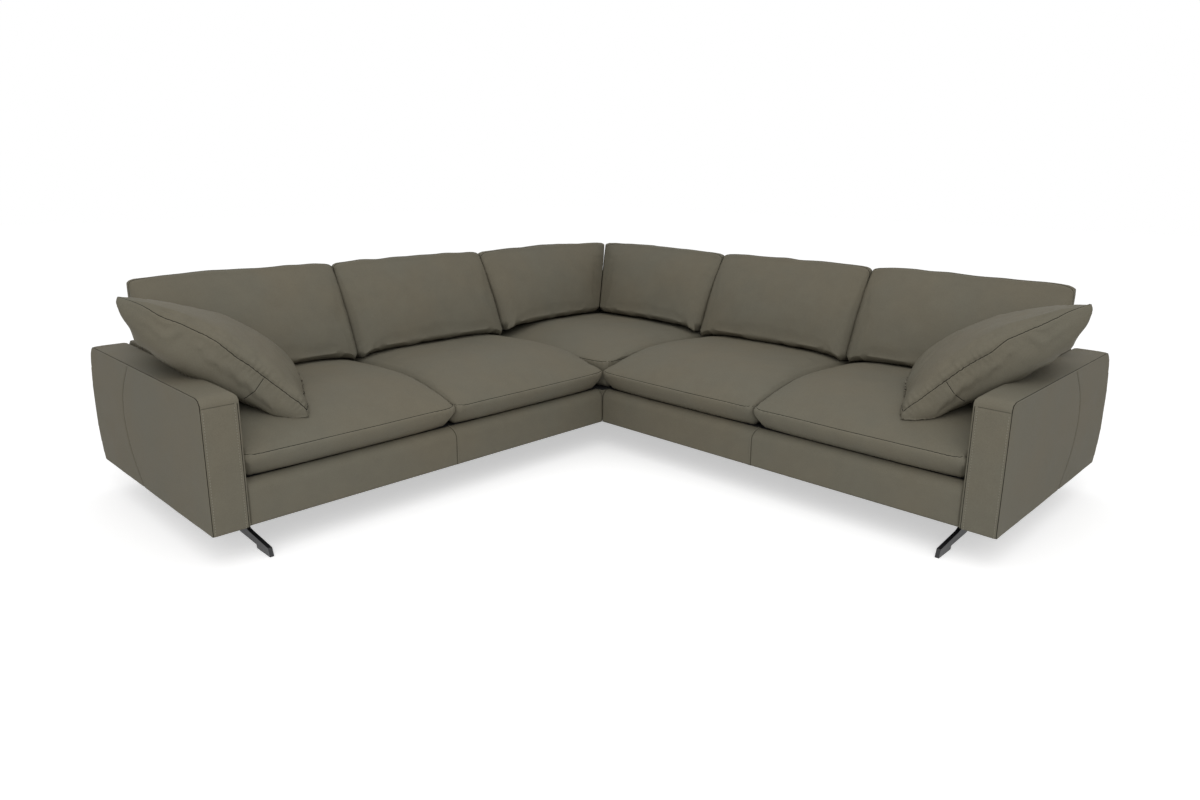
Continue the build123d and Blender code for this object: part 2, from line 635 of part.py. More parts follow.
def seat_section(plane, front, foot, seam, crown, rear):
    """Section of a seat cushion: flat below, swelling front, and two arcs over the crown."""
    ahead = CROWN_T - front
    behind = SEAT_END - CROWN_T
    with BuildSketch(plane) as outline:
        with BuildLine():
            Line((SEAT_END, DECK_TOP), (foot, DECK_TOP))
            bowed((foot, DECK_TOP), (front, seam), SEAT_BOW)
            ThreePointArc((front, seam),
                          (CROWN_T - ahead / 2, crown - arc_height(ahead, crown - seam, 0.5)),
                          (CROWN_T, crown))
            ThreePointArc((CROWN_T, crown),
                          (CROWN_T + behind / 2, crown - arc_height(behind, crown - rear, 0.5)),
                          (SEAT_END, rear))
            Line((SEAT_END, rear), (SEAT_END, DECK_TOP))
        make_face()
    return outline.sketch


def seat_cushion(start):
    """Seat cushion from one position along the wing, with pinched front corners."""
    rows = []
    for share, drawn in STATIONS:
        s = start + SOFT_GAP + share * (SEAT_W - 2 * SOFT_GAP)
        rows.append(seat_section(across(s), SEAM_PINCH * drawn - SEAT_OUT, SEAT_FOOT + FOOT_PINCH * drawn,
                                 SEAM_Z + SEAM_UP * drawn, CROWN_Z - CROWN_PINCH * drawn,
                                 CROWN_Z - REAR_DROP - REAR_PINCH * drawn))
    loft(rows)


with BuildPart() as right_seat_cushion_outer:
    seat_cushion(SEAT_W)
right_seat_cushion_outer.part.label = "right_seat_cushion_outer"

with BuildPart() as right_seat_cushion_inner:
    seat_cushion(0)
right_seat_cushion_inner.part.label = "right_seat_cushion_inner"

with BuildPart() as corner_seat_cushion:
    rows = []
    for share, drawn in STATIONS:
        s = -SOFT_GAP - share * (SEAT_END - SOFT_GAP)
        crown = CROWN_Z + CORNER_CROWN_UP
        rows.append(seat_section(across(s), SOFT_GAP + CORNER_OUT + CORNER_PINCH * drawn,
                                 CORNER_FOOT + CORNER_PINCH * drawn, SEAM_Z + CORNER_SEAM_UP,
                                 crown - CORNER_CROWN_PINCH * drawn,
                                 crown - CORNER_REAR_DROP - CORNER_PINCH * drawn))
    loft(rows)
corner_seat_cushion.part.label = "corner_seat_cushion"

# Back cushions, which stand on the seat cushions and lean on the fixed back.
BASE_T = BACK_FACE - LEAN_T
PEAK_T = DEPTH - TOP_BACK
SEAT_REACH = SEAT_END - CROWN_T
SEAT_FALL = arc_height(SEAT_REACH, REAR_DROP, (BASE_T - CROWN_T) / SEAT_REACH)
BASE_Z = CROWN_Z - SEAT_FALL + SEAT_CLEAR


def back_section(plane, stretch, axis, drawn, base):
    """Section of a back cushion: flat against the back, swelling front and a rounded top."""
    heel = base - HEEL
    front = BASE_T + FOOT_DRAW * drawn
    brow = PEAK_T - TOP_FRONT + FRONT_DRAW * drawn
    brow_z = CUSHION_TOP - TOP_ROUND - TOP_DRAW * drawn
    nape_z = brow_z - TOP_REAR

    def at(t, z):
        return ((t - axis) * stretch, z)

    with BuildSketch(plane) as outline:
        with BuildLine():
            Line(at(back_at(heel) - REST, heel), at(front, base))
            bowed(at(front, base), at(brow, brow_z), BACK_BOW - BOW_DRAW * drawn)
            ThreePointArc(at(brow, brow_z), at(PEAK_T, brow_z + TOP_ROUND),
                          at(back_at(nape_z) - REST, nape_z))
            Line(at(back_at(nape_z) - REST, nape_z), at(back_at(heel) - REST, heel))
        make_face()
    return outline.sketch


def back_cushion(start):
    """Back cushion from one position along the wing, whose foot follows the seat cushion."""
    rows = []
    for share, drawn in STATIONS:
        s = start + SOFT_GAP + share * (SEAT_W - 2 * SOFT_GAP)
        rows.append(back_section(across(s), 1, 0, drawn, BASE_Z - CROWN_PINCH * drawn))
    loft(rows)


with BuildPart() as right_back_cushion_outer:
    back_cushion(SEAT_W)
right_back_cushion_outer.part.label = "right_back_cushion_outer"

with BuildPart() as right_back_cushion_inner:
    back_cushion(0)
right_back_cushion_inner.part.label = "right_back_cushion_inner"

# The sections of a corner cushion turn about an upright line near the inner corner, from square
# across the wing to the mitre.
FAN_T = FAN_GAPS * SOFT_GAP

with BuildPart() as right_corner_back_cushion:
    rows = []
    for share, drawn in STATIONS:
        turned = Plane(origin=(CX - SOFT_GAP, CY + FAN_T, 0), x_dir=(-share, 1, 0), z_dir=(1, share, 0))
        fall = CORNER_FALL * drawn * (1 - share)
        rows.append(back_section(turned, math.hypot(1, share), FAN_T, drawn, BASE_Z + CORNER_LIFT - fall))
    loft(rows)
right_corner_back_cushion.part.label = "right_corner_back_cushion"


# Scatter cushion leaning on the arm: lens sections, thin at both ends, that turn as they go back.
def settle(body, supports):
    """Let a body straight down until it lies the resting clearance from a support."""
    for _ in range(SETTLE_STEPS):
        free = min(body.distance_to(other) for other in supports) - REST
        if free < SETTLED:
            break
        body = body.moved(Location((0, 0, -free)))
    return body


def scatter_section(plane, low, high, jaw_depth, swell):
    """Lens section: an arc over the top and three below, all arched where it is thin."""
    dx = high[0] - low[0]
    dz = high[1] - low[1]
    length = math.hypot(dx, dz)

    def under(share, depth):
        rise = 4 * share * (1 - share) * SCATTER_ARCH
        off = (swell * (depth + rise) - rise) / length
        return (low[0] + share * dx + off * dz, low[1] + share * dz - off * dx)

    cheek = under(SCATTER_CHEEK_AT, SCATTER_CHEEK)
    jaw = under(SCATTER_JAW_AT, jaw_depth)
    with BuildSketch(plane) as lens:
        with BuildLine():
            bowed(low, high, SCATTER_ARCH + swell * (SCATTER_UP - SCATTER_ARCH))
            bowed(high, cheek, SCATTER_ROUND * swell)
            bowed(cheek, jaw, SCATTER_ROUND * swell - SCATTER_ARCH * (1 - swell) / 2)
            bowed(jaw, low, SCATTER_ROUND * swell)
        make_face()
    return lens.sketch


with BuildPart() as scatter_high:
    out = Vector(1, 0, 0).rotate(Axis.Z, SCATTER_TURN)
    back = out.rotate(Axis.Z, 90)
    tip = SCATTER_L - SCATTER_DRAW * SCATTER_STATIONS[0][1]
    corner = Vector(CX + OUTER, CY + BASE_T - SCATTER_T, 0) - Vector(out.X * tip, 0, 0)
    rows = []
    for share, swell in SCATTER_STATIONS:
        draw = SCATTER_DRAW * swell
        low = (draw, ARM_H - SCATTER_FOOT + SCATTER_FOOT_TWIST * share * (2 - share))
        high = (SCATTER_L - draw, ARM_H + SCATTER_HEAD - SCATTER_HEAD_TWIST * share)
        plane = Plane(origin=corner + back * (share * SCATTER_W), x_dir=out, z_dir=back * -1)
        jaw_depth = SCATTER_JAW + SCATTER_LOBE * (1 - share) ** SCATTER_FADE
        rows.append(scatter_section(plane, low, high, jaw_depth, swell))
    loft(rows)

with BuildPart() as right_scatter_cushion:
    add(settle(scatter_high.part, [right_arm_cover.part, right_seat_cushion_outer.part,
                                   right_back_cushion_outer.part]))
right_scatter_cushion.part.label = "right_scatter_cushion"

CENTRE = [corner_base_frame, corner_sockets, corner_support_legs, corner_leg_fixings,
          corner_seat_webbing, corner_seat_deck, corner_dust_cover, corner_back_frame,
          corner_back_board, corner_seat_cushion]
RIGHT = [right_front_leg, right_support_legs, right_leg_fixings, right_base_frame, right_tongues,
         right_seat_webbing, right_seat_deck, right_dust_cover, right_base_cover, right_back_frame,
         right_back_board, right_back_cover, right_arm_frame, right_arm_bolts, right_arm_cover,
         right_corner_back_cover, right_seat_cushion_outer, right_seat_cushion_inner,
         right_back_cushion_outer, right_back_cushion_inner, right_corner_back_cushion,
         right_scatter_cushion]

for piece in CENTRE + RIGHT:
    export_step(piece.part, "parts/" + piece.part.label + ".step")

for piece in RIGHT:
    with BuildPart() as twin:
        mirror(piece.part, about=DIAGONAL)
    twin.part.label = piece.part.label.replace("right_", "left_")
    export_step(twin.part, "parts/" + twin.part.label + ".step")
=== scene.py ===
"""Looks of the leather corner sofa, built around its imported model."""

import json
import math

import bmesh
import bpy
import numpy as np
from mathutils import Matrix, Vector, noise
from mathutils.bvhtree import BVHTree
from mathutils.kdtree import KDTree


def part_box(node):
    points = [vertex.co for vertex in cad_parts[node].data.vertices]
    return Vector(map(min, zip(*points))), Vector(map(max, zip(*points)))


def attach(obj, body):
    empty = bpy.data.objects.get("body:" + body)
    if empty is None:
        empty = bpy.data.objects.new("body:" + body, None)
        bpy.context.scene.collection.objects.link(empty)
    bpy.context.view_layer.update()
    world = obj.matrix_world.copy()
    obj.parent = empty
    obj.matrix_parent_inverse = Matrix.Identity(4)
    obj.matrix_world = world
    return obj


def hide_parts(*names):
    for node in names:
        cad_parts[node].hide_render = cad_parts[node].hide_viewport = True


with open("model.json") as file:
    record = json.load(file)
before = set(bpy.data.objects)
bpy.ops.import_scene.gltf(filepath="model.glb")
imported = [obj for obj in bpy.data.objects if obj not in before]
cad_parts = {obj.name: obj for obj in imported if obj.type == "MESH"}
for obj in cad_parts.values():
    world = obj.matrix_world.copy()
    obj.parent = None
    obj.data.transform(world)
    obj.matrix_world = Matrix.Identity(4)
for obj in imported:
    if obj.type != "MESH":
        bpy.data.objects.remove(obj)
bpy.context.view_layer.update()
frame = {"nodes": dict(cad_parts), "record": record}
NODES = frame["nodes"]
SCENE = bpy.context.scene
SIDES = ("right", "left")

# Places of the wings, in metres. s runs along a wing from the inner corner, t from the front of
# its base to the back, z up from the floor. The left wing mirrors the right one.
UNIT_GAP = 0.002
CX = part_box("right_base_cover")[0].x - UNIT_GAP
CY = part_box("right_base_cover")[0].y
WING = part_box("right_base_cover")[1].x - CX
SEAT_W = WING / 2
ARM_LO, ARM_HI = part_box("right_arm_cover")
DECK_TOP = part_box("right_seat_deck")[1].z
BASE_Z = ARM_LO.z

# Camera of the photograph
CAMERA_AT = (2.201, -2.291, 1.302)
CAMERA_YAW = math.radians(44.04)
CAMERA_PITCH = math.radians(13.48)
CAMERA_ROLL = math.radians(0.53)
CAMERA_LENS = 24.67
CAMERA_SENSOR = 36.0
CAMERA_SHIFT = (-0.0022, -0.0268)

# Cushion simulation
SIM_FRAMES = 20
PRESSURE = 4.0
SHRINK_START = 0.003  # how much smaller a cushion starts
SWELL_CAP = 0.024  # most that a point may move
NO_MOVE = 1e-9
PIN_REACH = 0.8  # how near the seam a point is held, in voxels
CUSHION_PROUD = 0.0005  # most that a seat or back stands out of its solid before it is shaped
SLACK = 0.002  # most that leather falls short of the solid it dresses


def at(s, t, z):
    """Point of the right wing."""
    return Vector((CX + s, CY + t, z))


def mirror_points(points):
    """Mirror an array of points across the diagonal of the plan."""
    return np.stack([-points[:, 1], -points[:, 0], points[:, 2]], axis=1)


def get_points(obj, what="co"):
    flat = np.zeros(len(obj.data.vertices) * 3)
    obj.data.vertices.foreach_get(what, flat)
    return flat.reshape(-1, 3)


def set_points(obj, points):
    obj.data.vertices.foreach_set("co", np.ascontiguousarray(points).ravel())
    obj.data.update()


def get_normals(obj):
    return get_points(obj, "normal")


def mesh_object(name, points, faces):
    mesh = bpy.data.meshes.new(name)
    mesh.from_pydata(points, [], faces)
    return new_object(name, mesh)


def push(obj, lift):
    """Move the points of an object along their normals."""
    set_points(obj, get_points(obj) + get_normals(obj) * lift[:, None])


def lengths(vectors):
    return np.linalg.norm(vectors, axis=1)


def run_along(path):
    """Length along a path up to each of its points."""
    return np.concatenate([[0], np.cumsum(lengths(np.diff(path, axis=0)))])


def bell(x, width):
    """Smooth fall from 1 at 0 to nothing beyond about two widths."""
    return np.exp(-(x / width) ** 2)


def new_object(name, mesh):
    obj = bpy.data.objects.new(name, mesh)
    SCENE.collection.objects.link(obj)
    return obj


NOISE_STEPS = (7.31, 3.17, 5.71)  # how far apart the noise of two seeds lies


def smooth_noise(points, size, seed):
    """Smooth noise between about -1 and 1 with features of the given size."""
    shift = Vector([seed * step for step in NOISE_STEPS])
    return np.array([noise.noise(Vector(p) / size + shift) for p in points])


# Materials
class Nodes:
    """Short hand for building one node material."""

    def __init__(self, name):
        self.material = bpy.data.materials.new(name)
        self.material.use_nodes = True
        self.tree = self.material.node_tree
        self.shader = self.tree.nodes["Principled BSDF"]
        self.place = self.add("ShaderNodeTexCoord").outputs["Object"]

    def add(self, kind, **values):
        node = self.tree.nodes.new(kind)
        for key, value in values.items():
            if key in node.inputs:
                node.inputs[key].default_value = value
            else:
                setattr(node, key, value)
        return node

    def link(self, source, target):
        self.tree.links.new(source, target)

    def noise(self, scale, detail=4.0, roughness=0.55):
        node = self.add("ShaderNodeTexNoise", Scale=scale, Detail=detail, Roughness=roughness)
        self.link(self.place, node.inputs["Vector"])
        return node.outputs["Fac"]

    def cells(self, scale, feature="DISTANCE_TO_EDGE"):
        node = self.add("ShaderNodeTexVoronoi", Scale=scale, feature=feature)
        self.link(self.place, node.inputs["Vector"])
        return node.outputs["Distance"]

    def ramp(self, source, stops):
        """Colour ramp through (position, colour) stops."""
        node = self.add("ShaderNodeValToRGB")
        elements = node.color_ramp.elements
        while len(elements) < len(stops):
            elements.new(0.5)
        for element, (position, colour) in zip(elements, stops):
            element.position = position
            element.color = (*colour, 1.0)
        self.link(source, node.inputs["Fac"])
        return node.outputs["Color"]

    def span(self, source, low, high, start=0.3, end=0.7):
        """Map a value from one range to another."""
        node = self.add("ShaderNodeMapRange")
        for socket, value in zip(("From Min", "From Max", "To Min", "To Max"), (start, end, low, high)):
            node.inputs[socket].default_value = value
        self.link(source, node.inputs["Value"])
        return node.outputs["Result"]

    def mix(self, factor, first, second, blend="MIX"):
        node = self.add("ShaderNodeMix", data_type="RGBA", blend_type=blend)
        for source, socket in ((factor, 0), (first, 6), (second, 7)):
            if isinstance(source, bpy.types.NodeSocket):
                self.link(source, node.inputs[socket])
            elif socket == 0:
                node.inputs[socket].default_value = source
            else:
                node.inputs[socket].default_value = (*source, 1.0)
        return node.outputs[2]

    def bump(self, height, strength, distance, under=None):
        node = self.add("ShaderNodeBump", Strength=strength, Distance=distance)
        self.link(height, node.inputs["Height"])
        if under is not None:
            self.link(under, node.inputs["Normal"])
        return node.outputs["Normal"]

    def finish(self, colour, roughness, normal=None, **values):
        self.link(colour, self.shader.inputs["Base Color"])
        self.link(roughness, self.shader.inputs["Roughness"])
        if normal is not None:
            self.link(normal, self.shader.inputs["Normal"])
        for key, value in values.items():
            self.shader.inputs[key.replace("_", " ")].default_value = value
        return self.material


def shade(colour, factor):
    return tuple(c * factor for c in colour)


LEATHER = (0.152, 0.139, 0.104)  # olive grey, linear


def leather_material(name, tone):
    """Matt pebbled leather with soft mottling; tone scales its colour, so that darker copies paint shade in
    the seams and a lighter copy paints a highlight on their lips.
    """
    n = Nodes(name)
    cloud = n.noise(3.2, 3.0)
    blotch = n.noise(14.0, 5.0, 0.6)
    speck = n.noise(420.0, 2.0)
    base = shade(LEATHER, tone)
    warm = (base[0] * 1.02, base[1] * 1.00, base[2] * 0.98)
    cool = (base[0] * 0.98, base[1] * 1.00, base[2] * 1.02)
    colour = n.ramp(cloud, [(0.35, cool), (0.65, warm)])
    mottle = n.ramp(blotch, [(0.30, (0.94, 0.94, 0.94)), (0.70, (1.05, 1.05, 1.05))])
    colour = n.mix(0.8, colour, mottle, "MULTIPLY")
    fleck = n.ramp(speck, [(0.30, (0.86, 0.86, 0.86)), (0.60, (1.05, 1.05, 1.05))])
    colour = n.mix(0.7, colour, fleck, "MULTIPLY")
    grain = n.span(n.cells(520.0), 0.0, 1.0, 0.0, 0.12)
    pores = n.noise(260.0, 4.0, 0.6)
    crease = n.noise(38.0, 6.0, 0.65)
    normal = n.bump(crease, 0.10, 0.004)
    normal = n.bump(pores, 0.22, 0.0012, normal)
    normal = n.bump(grain, 0.20, 0.0006, normal)
    return n.finish(colour, n.span(blotch, 0.64, 0.76), normal, Specular_IOR_Level=0.12)


def plain_material(name, low, high, scale, rough, bump, metallic=0.0, specular=0.5):
    """Coated, moulded or plated surface with fine variation."""
    n = Nodes(name)
    field = n.noise(scale, 5.0, 0.6)
    colour = n.ramp(field, [(0.3, low), (0.7, high)])
    normal = n.bump(n.noise(scale * 6, 3.0), bump, 0.0006)
    return n.finish(colour, n.span(field, *rough), normal, Metallic=metallic, Specular_IOR_Level=specular)


def weave_material(name, low, high, pitch):
    """Plain woven cloth of the given thread pitch."""
    n = Nodes(name)
    threads = []
    for axis in ("X", "Y"):
        wave = n.add("ShaderNodeTexWave", Scale=math.pi / (10 * pitch), bands_direction=axis)
        n.link(n.place, wave.inputs["Vector"])
        threads.append(wave.outputs["Fac"])
    cloth = n.mix(0.5, threads[0], threads[1])
    colour = n.ramp(cloth, [(0.2, low), (0.8, high)])
    fuzz = n.mix(0.5, colour, n.ramp(n.noise(90.0), [(0.3, low), (0.7, high)]))
    return n.finish(fuzz, n.span(n.noise(60.0), 0.75, 0.92), n.bump(cloth, 0.5, 0.0008),
                    Specular_IOR_Level=0.2)


def timber_material():
    """Raw softwood with grain along the boards."""
    n = Nodes("raw_timber")
    stretch = n.add("ShaderNodeMapping", Scale=(1.0, 1.0, 6.0))
    n.link(n.place, stretch.inputs["Vector"])
    rings = n.add("ShaderNodeTexWave", Scale=9.0, Distortion=7.0, Detail=3.0, bands_direction="DIAGONAL")
    n.link(stretch.outputs["Vector"], rings.inputs["Vector"])
    colour = n.ramp(rings.outputs["Fac"], [(0.2, (0.42, 0.27, 0.14)), (0.8, (0.62, 0.44, 0.26))])
    fibre = n.noise(180.0, 6.0, 0.7)
    colour = n.mix(0.35, colour, n.ramp(fibre, [(0.3, (0.36, 0.23, 0.12)), (0.7, (0.66, 0.49, 0.31))]))
    return n.finish(colour, n.span(fibre, 0.6, 0.8), n.bump(fibre, 0.3, 0.001))


MATERIALS = {
    "leather": leather_material("olive_leather", 1.0),
    # The crease copy is the leather darkened to about a sixth of its colour: painted shade in the hollow
    # beside each lapped seam.
    "crease": leather_material("seam_shadow_leather", 0.16),
    # The lip copy is the leather made lighter: a painted highlight along the raised edge of each lapped
    # seam.
    "lip": leather_material("seam_lip_highlight_leather", 1.16),
    # The faint copy is the leather at about half its colour: a milder painted shade in the hollow of the
    # hide joins, cross seams and border seams.
    "faint": leather_material("hide_join_leather", 0.55),
    "thread": plain_material("pale_thread", (0.19, 0.175, 0.135), (0.25, 0.23, 0.18), 900.0,
                             (0.6, 0.8), 0.3),
    "black_cloth": weave_material("black_lining", (0.010, 0.010, 0.010), (0.030, 0.030, 0.030), 0.0012),
    "webbing": weave_material("elastic_webbing", (0.05, 0.045, 0.04), (0.14, 0.125, 0.11), 0.0022),
    "timber": timber_material(),
    "black_metal": plain_material("satin_black_coating", (0.010, 0.010, 0.011), (0.020, 0.020, 0.022),
                                  220.0, (0.34, 0.46), 0.12, specular=0.5),
    "black_plastic": plain_material("moulded_black", (0.012, 0.012, 0.012), (0.024, 0.024, 0.024),
                                    160.0, (0.45, 0.6), 0.2),
    "steel": plain_material("plated_steel", (0.42, 0.42, 0.43), (0.58, 0.58, 0.58), 300.0,
                            (0.26, 0.4), 0.1, metallic=1.0),
}


def dress(obj, *names):
    """Give an object its materials."""
    obj.data.materials.clear()
    for name in names:
        obj.data.materials.append(MATERIALS[name])


# Tubes and stitches
PARALLEL = 1e-4  # length below which two directions count as one


def heading(points, i, closed):
    """Direction of a path at one of its points."""
    count = len(points)
    ahead = points[(i + 1) % count] if closed or i + 1 < count else points[i]
    behind = points[i - 1] if closed or i > 0 else points[i]
    return (ahead - behind).normalized()


def tube(name, paths, radius, material, sides=6, flat=1.0, normals=None):
    """Closed tubes along lists of points, as one mesh."""
    bm = bmesh.new()
    for index, (points, closed) in enumerate(paths):
        count = len(points)
        rings = []
        for i, p in enumerate(points):
            along = heading(points, i, closed)
            up = normals[index][i] if normals else Vector((0, 0, 1))
            side = along.cross(up)
            if side.length < PARALLEL:
                side = along.orthogonal()
            side.normalize()
            up = side.cross(along)
            ring = []
            for k in range(sides):
                a = 2 * math.pi * k / sides
                across, rise = radius * math.cos(a), radius * flat * math.sin(a)
                ring.append(bm.verts.new(p + side * across + up * rise))
            rings.append(ring)
        for i in range(count if closed else count - 1):
            first, second = rings[i], rings[(i + 1) % count]
            for k in range(sides):
                bm.faces.new((first[k], first[(k + 1) % sides], second[(k + 1) % sides], second[k]))
        if not closed:
            bm.faces.new(list(reversed(rings[0])))
            bm.faces.new(rings[-1])
    bmesh.ops.recalc_face_normals(bm, faces=bm.faces)
    mesh = bpy.data.meshes.new(name)
    bm.to_mesh(mesh)
    bm.free()
    mesh.shade_smooth()
    obj = new_object(name, mesh)
    dress(obj, material)
    return obj


def resample(points, step, closed=False):
    """Points at an even step along a path."""
    loop = list(points) + ([points[0]] if closed else [])
    arr = np.array(loop)
    run = run_along(arr)
    count = max(int(run[-1] / step), 2)
    places = np.linspace(0, run[-1], count + 1)
    if closed:
        places = places[:-1]
    out = np.stack([np.interp(places, run, arr[:, i]) for i in range(3)], axis=1)
    return [Vector(p) for p in out]


def even_out(points, passes, closed=False):
    """Smooth a path, with its ends kept."""
    arr = np.array(points)
    for _ in range(passes):
        if closed:
            arr = 0.25 * np.roll(arr, 1, 0) + 0.5 * arr + 0.25 * np.roll(arr, -1, 0)
        else:
            arr[1:-1] = 0.25 * arr[:-2] + 0.5 * arr[1:-1] + 0.25 * arr[2:]
    return [Vector(p) for p in arr]


def surface(obj):
    """Search tree of an object's mesh."""
    bm = bmesh.new()
    bm.from_mesh(obj.data)
    tree = BVHTree.FromBMesh(bm)
    bm.free()
    return tree


def lay(points, tree, sink=0.0):
    """Drop a path onto a surface; returns the points and their normals."""
    laid, normals = [], []
    for p in points:
        spot, normal, _, _ = tree.find_nearest(p)
        laid.append(spot - normal * sink)
        normals.append(normal)
    return laid, normals


CREASE_R = 0.0016
LIP_R = 0.0024
LIP_FLAT = 0.8
CREASE_SINK = 0.0006
LIP_SINK = 0.0012
SEAM_STEP = 0.006


def seam(obj, path, closed, lip_side, name, crease_look="crease"):
    """Lapped seam on an object: a crease tube darkened as painted shade, with a raised lip of leather beside
    it lightened by a painted highlight.
    """
    tree = surface(obj)
    points = resample(path, SEAM_STEP, closed)
    crease, normals = lay(points, tree, CREASE_SINK)
    made = [tube(name + "_crease", [(crease, closed)], CREASE_R, crease_look, normals=[normals])]
    if lip_side:
        beside = []
        for i, p in enumerate(crease):
            across = heading(crease, i, closed).cross(normals[i]).normalized()
            beside.append(p + across * (lip_side * (CREASE_R + LIP_R)))
        lip, lip_normals = lay(beside, tree, LIP_SINK)
        made.append(tube(name + "_lip", [(lip, closed)], LIP_R, "lip", flat=LIP_FLAT, normals=[lip_normals]))
    for piece in made:
        piece.parent = obj
    return made


STITCH = 0.0052
STITCH_PITCH = 0.0095
STITCH_R = 0.0011


def stitches(obj, path, name):
    """Row of top stitches along a path on an object."""
    tree = surface(obj)
    points, normals = lay(resample(path, STITCH_PITCH), tree)
    rows, ups = [], []
    for i in range(len(points) - 1):
        along = (points[i + 1] - points[i]).normalized() * (STITCH / 2)
        rows.append(([points[i] - along, points[i], points[i] + along], False))
        ups.append([normals[i]] * 3)
    piece = tube(name, rows, STITCH_R, "thread", sides=5, normals=ups)
    piece.parent = obj
    return piece


# Cushions by cloth simulation
def remeshed(node, voxel, name, shrink=0.0):
    """Even mesh of a CAD solid, a little smaller than it where asked."""
    source = NODES[node]
    obj = new_object(name, source.data.copy())
    mod = obj.modifiers.new("Remesh", "REMESH")
    mod.mode = "VOXEL"
    mod.voxel_size = voxel
    apply_modifiers(obj)
    push(obj, np.full(len(obj.data.vertices), -shrink))
    return obj


def apply_modifiers(obj):
    """Replace an object's mesh by its evaluated one."""
    graph = bpy.context.evaluated_depsgraph_get()
    graph.update()
    mesh = bpy.data.meshes.new_from_object(obj.evaluated_get(graph))
    obj.modifiers.clear()
    old = obj.data
    obj.data = mesh
    bpy.data.meshes.remove(old)
    mesh.shade_smooth()


def blow_up(obj, pinned):
    """Swell a closed mesh by cloth pressure, holding the pinned points, within the cap."""
    start = get_points(obj)
    group = obj.vertex_groups.new(name="held")
    if len(pinned):
        group.add([int(i) for i in pinned], 1.0, "REPLACE")
    mod = obj.modifiers.new("Cloth", "CLOTH")
    settings = mod.settings
    settings.quality = 6
    settings.mass = 0.4
    settings.tension_stiffness = 18
    settings.compression_stiffness = 18
    settings.shear_stiffness = 8
    settings.bending_stiffness = 1.5
    settings.shrink_min = -0.016
    settings.use_pressure = True
    settings.uniform_pressure_force = PRESSURE
    settings.vertex_group_mass = "held"
    settings.effector_weights.gravity = 0
    mod.collision_settings.use_collision = False
    mod.point_cache.frame_start = 1
    mod.point_cache.frame_end = SIM_FRAMES
    for step in range(1, SIM_FRAMES + 1):
        SCENE.frame_set(step)
    apply_modifiers(obj)
    moved = get_points(obj) - start
    reach = np.linalg.norm(moved, axis=1, keepdims=True)
    moved *= np.minimum(1.0, SWELL_CAP / np.maximum(reach, NO_MOVE))
    set_points(obj, start + moved)
    SCENE.frame_set(1)


RELAX_IN = 0.5
RELAX_OUT = -0.52


def relax(obj, passes):
    """Even out a mesh without shrinking it: each pass draws points together and lets them out again."""
    mesh = obj.data
    ends = np.zeros(len(mesh.edges) * 2, int)
    mesh.edges.foreach_get("vertices", ends)
    first, second = ends[::2], ends[1::2]
    points = get_points(obj)
    degree = np.bincount(ends, minlength=len(points))[:, None]
    for share in (RELAX_IN, RELAX_OUT) * passes:
        total = np.zeros_like(points)
        np.add.at(total, first, points[second])
        np.add.at(total, second, points[first])
        points = points + share * (total / degree - points)
    set_points(obj, points)


def off_surface(tree, p):
    """Nearest spot of a surface, the way from it to a point, and how far outside the point is."""
    spot, normal, _, _ = tree.find_nearest(p)
    off = p - spot
    return spot, off, math.copysign(off.length, off.dot(normal))


def keep_to(obj, node, proud, slack):
    """Bring points that left a CAD solid, or fell too far inside it, back near its surface."""
    tree = surface(NODES[node])
    points = get_points(obj)
    for i, p in enumerate(points):
        spot, off, out = off_surface(tree, Vector(p))
        if out > proud or out < -slack:
            wanted = proud if out > 0 else -slack
            points[i] = np.array(spot + off * (wanted / out))
    set_points(obj, points)


def near(points, path):
    """Distance of points from a dense path, and the index of the nearest point of it."""
    tree = KDTree(len(path))
    for i, p in enumerate(path):
        tree.insert(p, i)
    tree.balance()
    distance = np.zeros(len(points))
    index = np.zeros(len(points), int)
    for k, p in enumerate(points):
        _, i, d = tree.find(p)
        distance[k] = d
        index[k] = i
    return distance, index


def place(side, *objs):
    """Mirror pieces drawn on the right wing when they belong to the left one."""
    if side == "left":
        for obj in objs:
            set_points(obj, mirror_points(get_points(obj)))
            obj.data.flip_normals()


LOOP_COUNT = 260
LOOP_FROM = 2.0  # distance from which the loop is cast onto the object


def loop_round(obj, middle, across, upward):
    """Loop round an object in the plane of two directions."""
    tree = surface(obj)
    loop = []
    for i in range(LOOP_COUNT):
        a = 2 * math.pi * i / LOOP_COUNT
        out = across * math.cos(a) + upward * math.sin(a)
        spot = tree.ray_cast(middle + out * LOOP_FROM, -out)[0]
        if spot is not None:
            loop.append(spot)
    return loop


def loop_at(obj, z, middle):
    """Level loop round an object at one height."""
    return loop_round(obj, Vector((middle.x, middle.y, z)), Vector((1, 0, 0)), Vector((0, 1, 0)))


def draw_in(obj, path, depth, width):
    """Pull a surface in along a seam."""
    distance, _ = near(get_points(obj), path)
    push(obj, -depth * bell(distance, width))


def draw_to(obj, targets, reach):
    """Draw the nearest point of a surface out to each target, fading with distance from it."""
    points = get_points(obj)
    for target in targets:
        goal = np.array(target)
        tip = points[lengths(points - goal).argmin()].copy()
        fall = np.exp(-(((points - tip) / reach) ** 2).sum(1) ** 2)
        points += (goal - tip) * fall[:, None]
    set_points(obj, points)


END_FACING = (0.86, 0.97)  # where a surface counts as the end of a cushion, by how far it faces that way
END_PROUD = 0.0005
ENDS = {
    "wing": ((1, 0, 0), (-1, 0, 0)),
    "corner": ((1, 0, 0), (-math.sqrt(0.5), -math.sqrt(0.5), 0)),
}


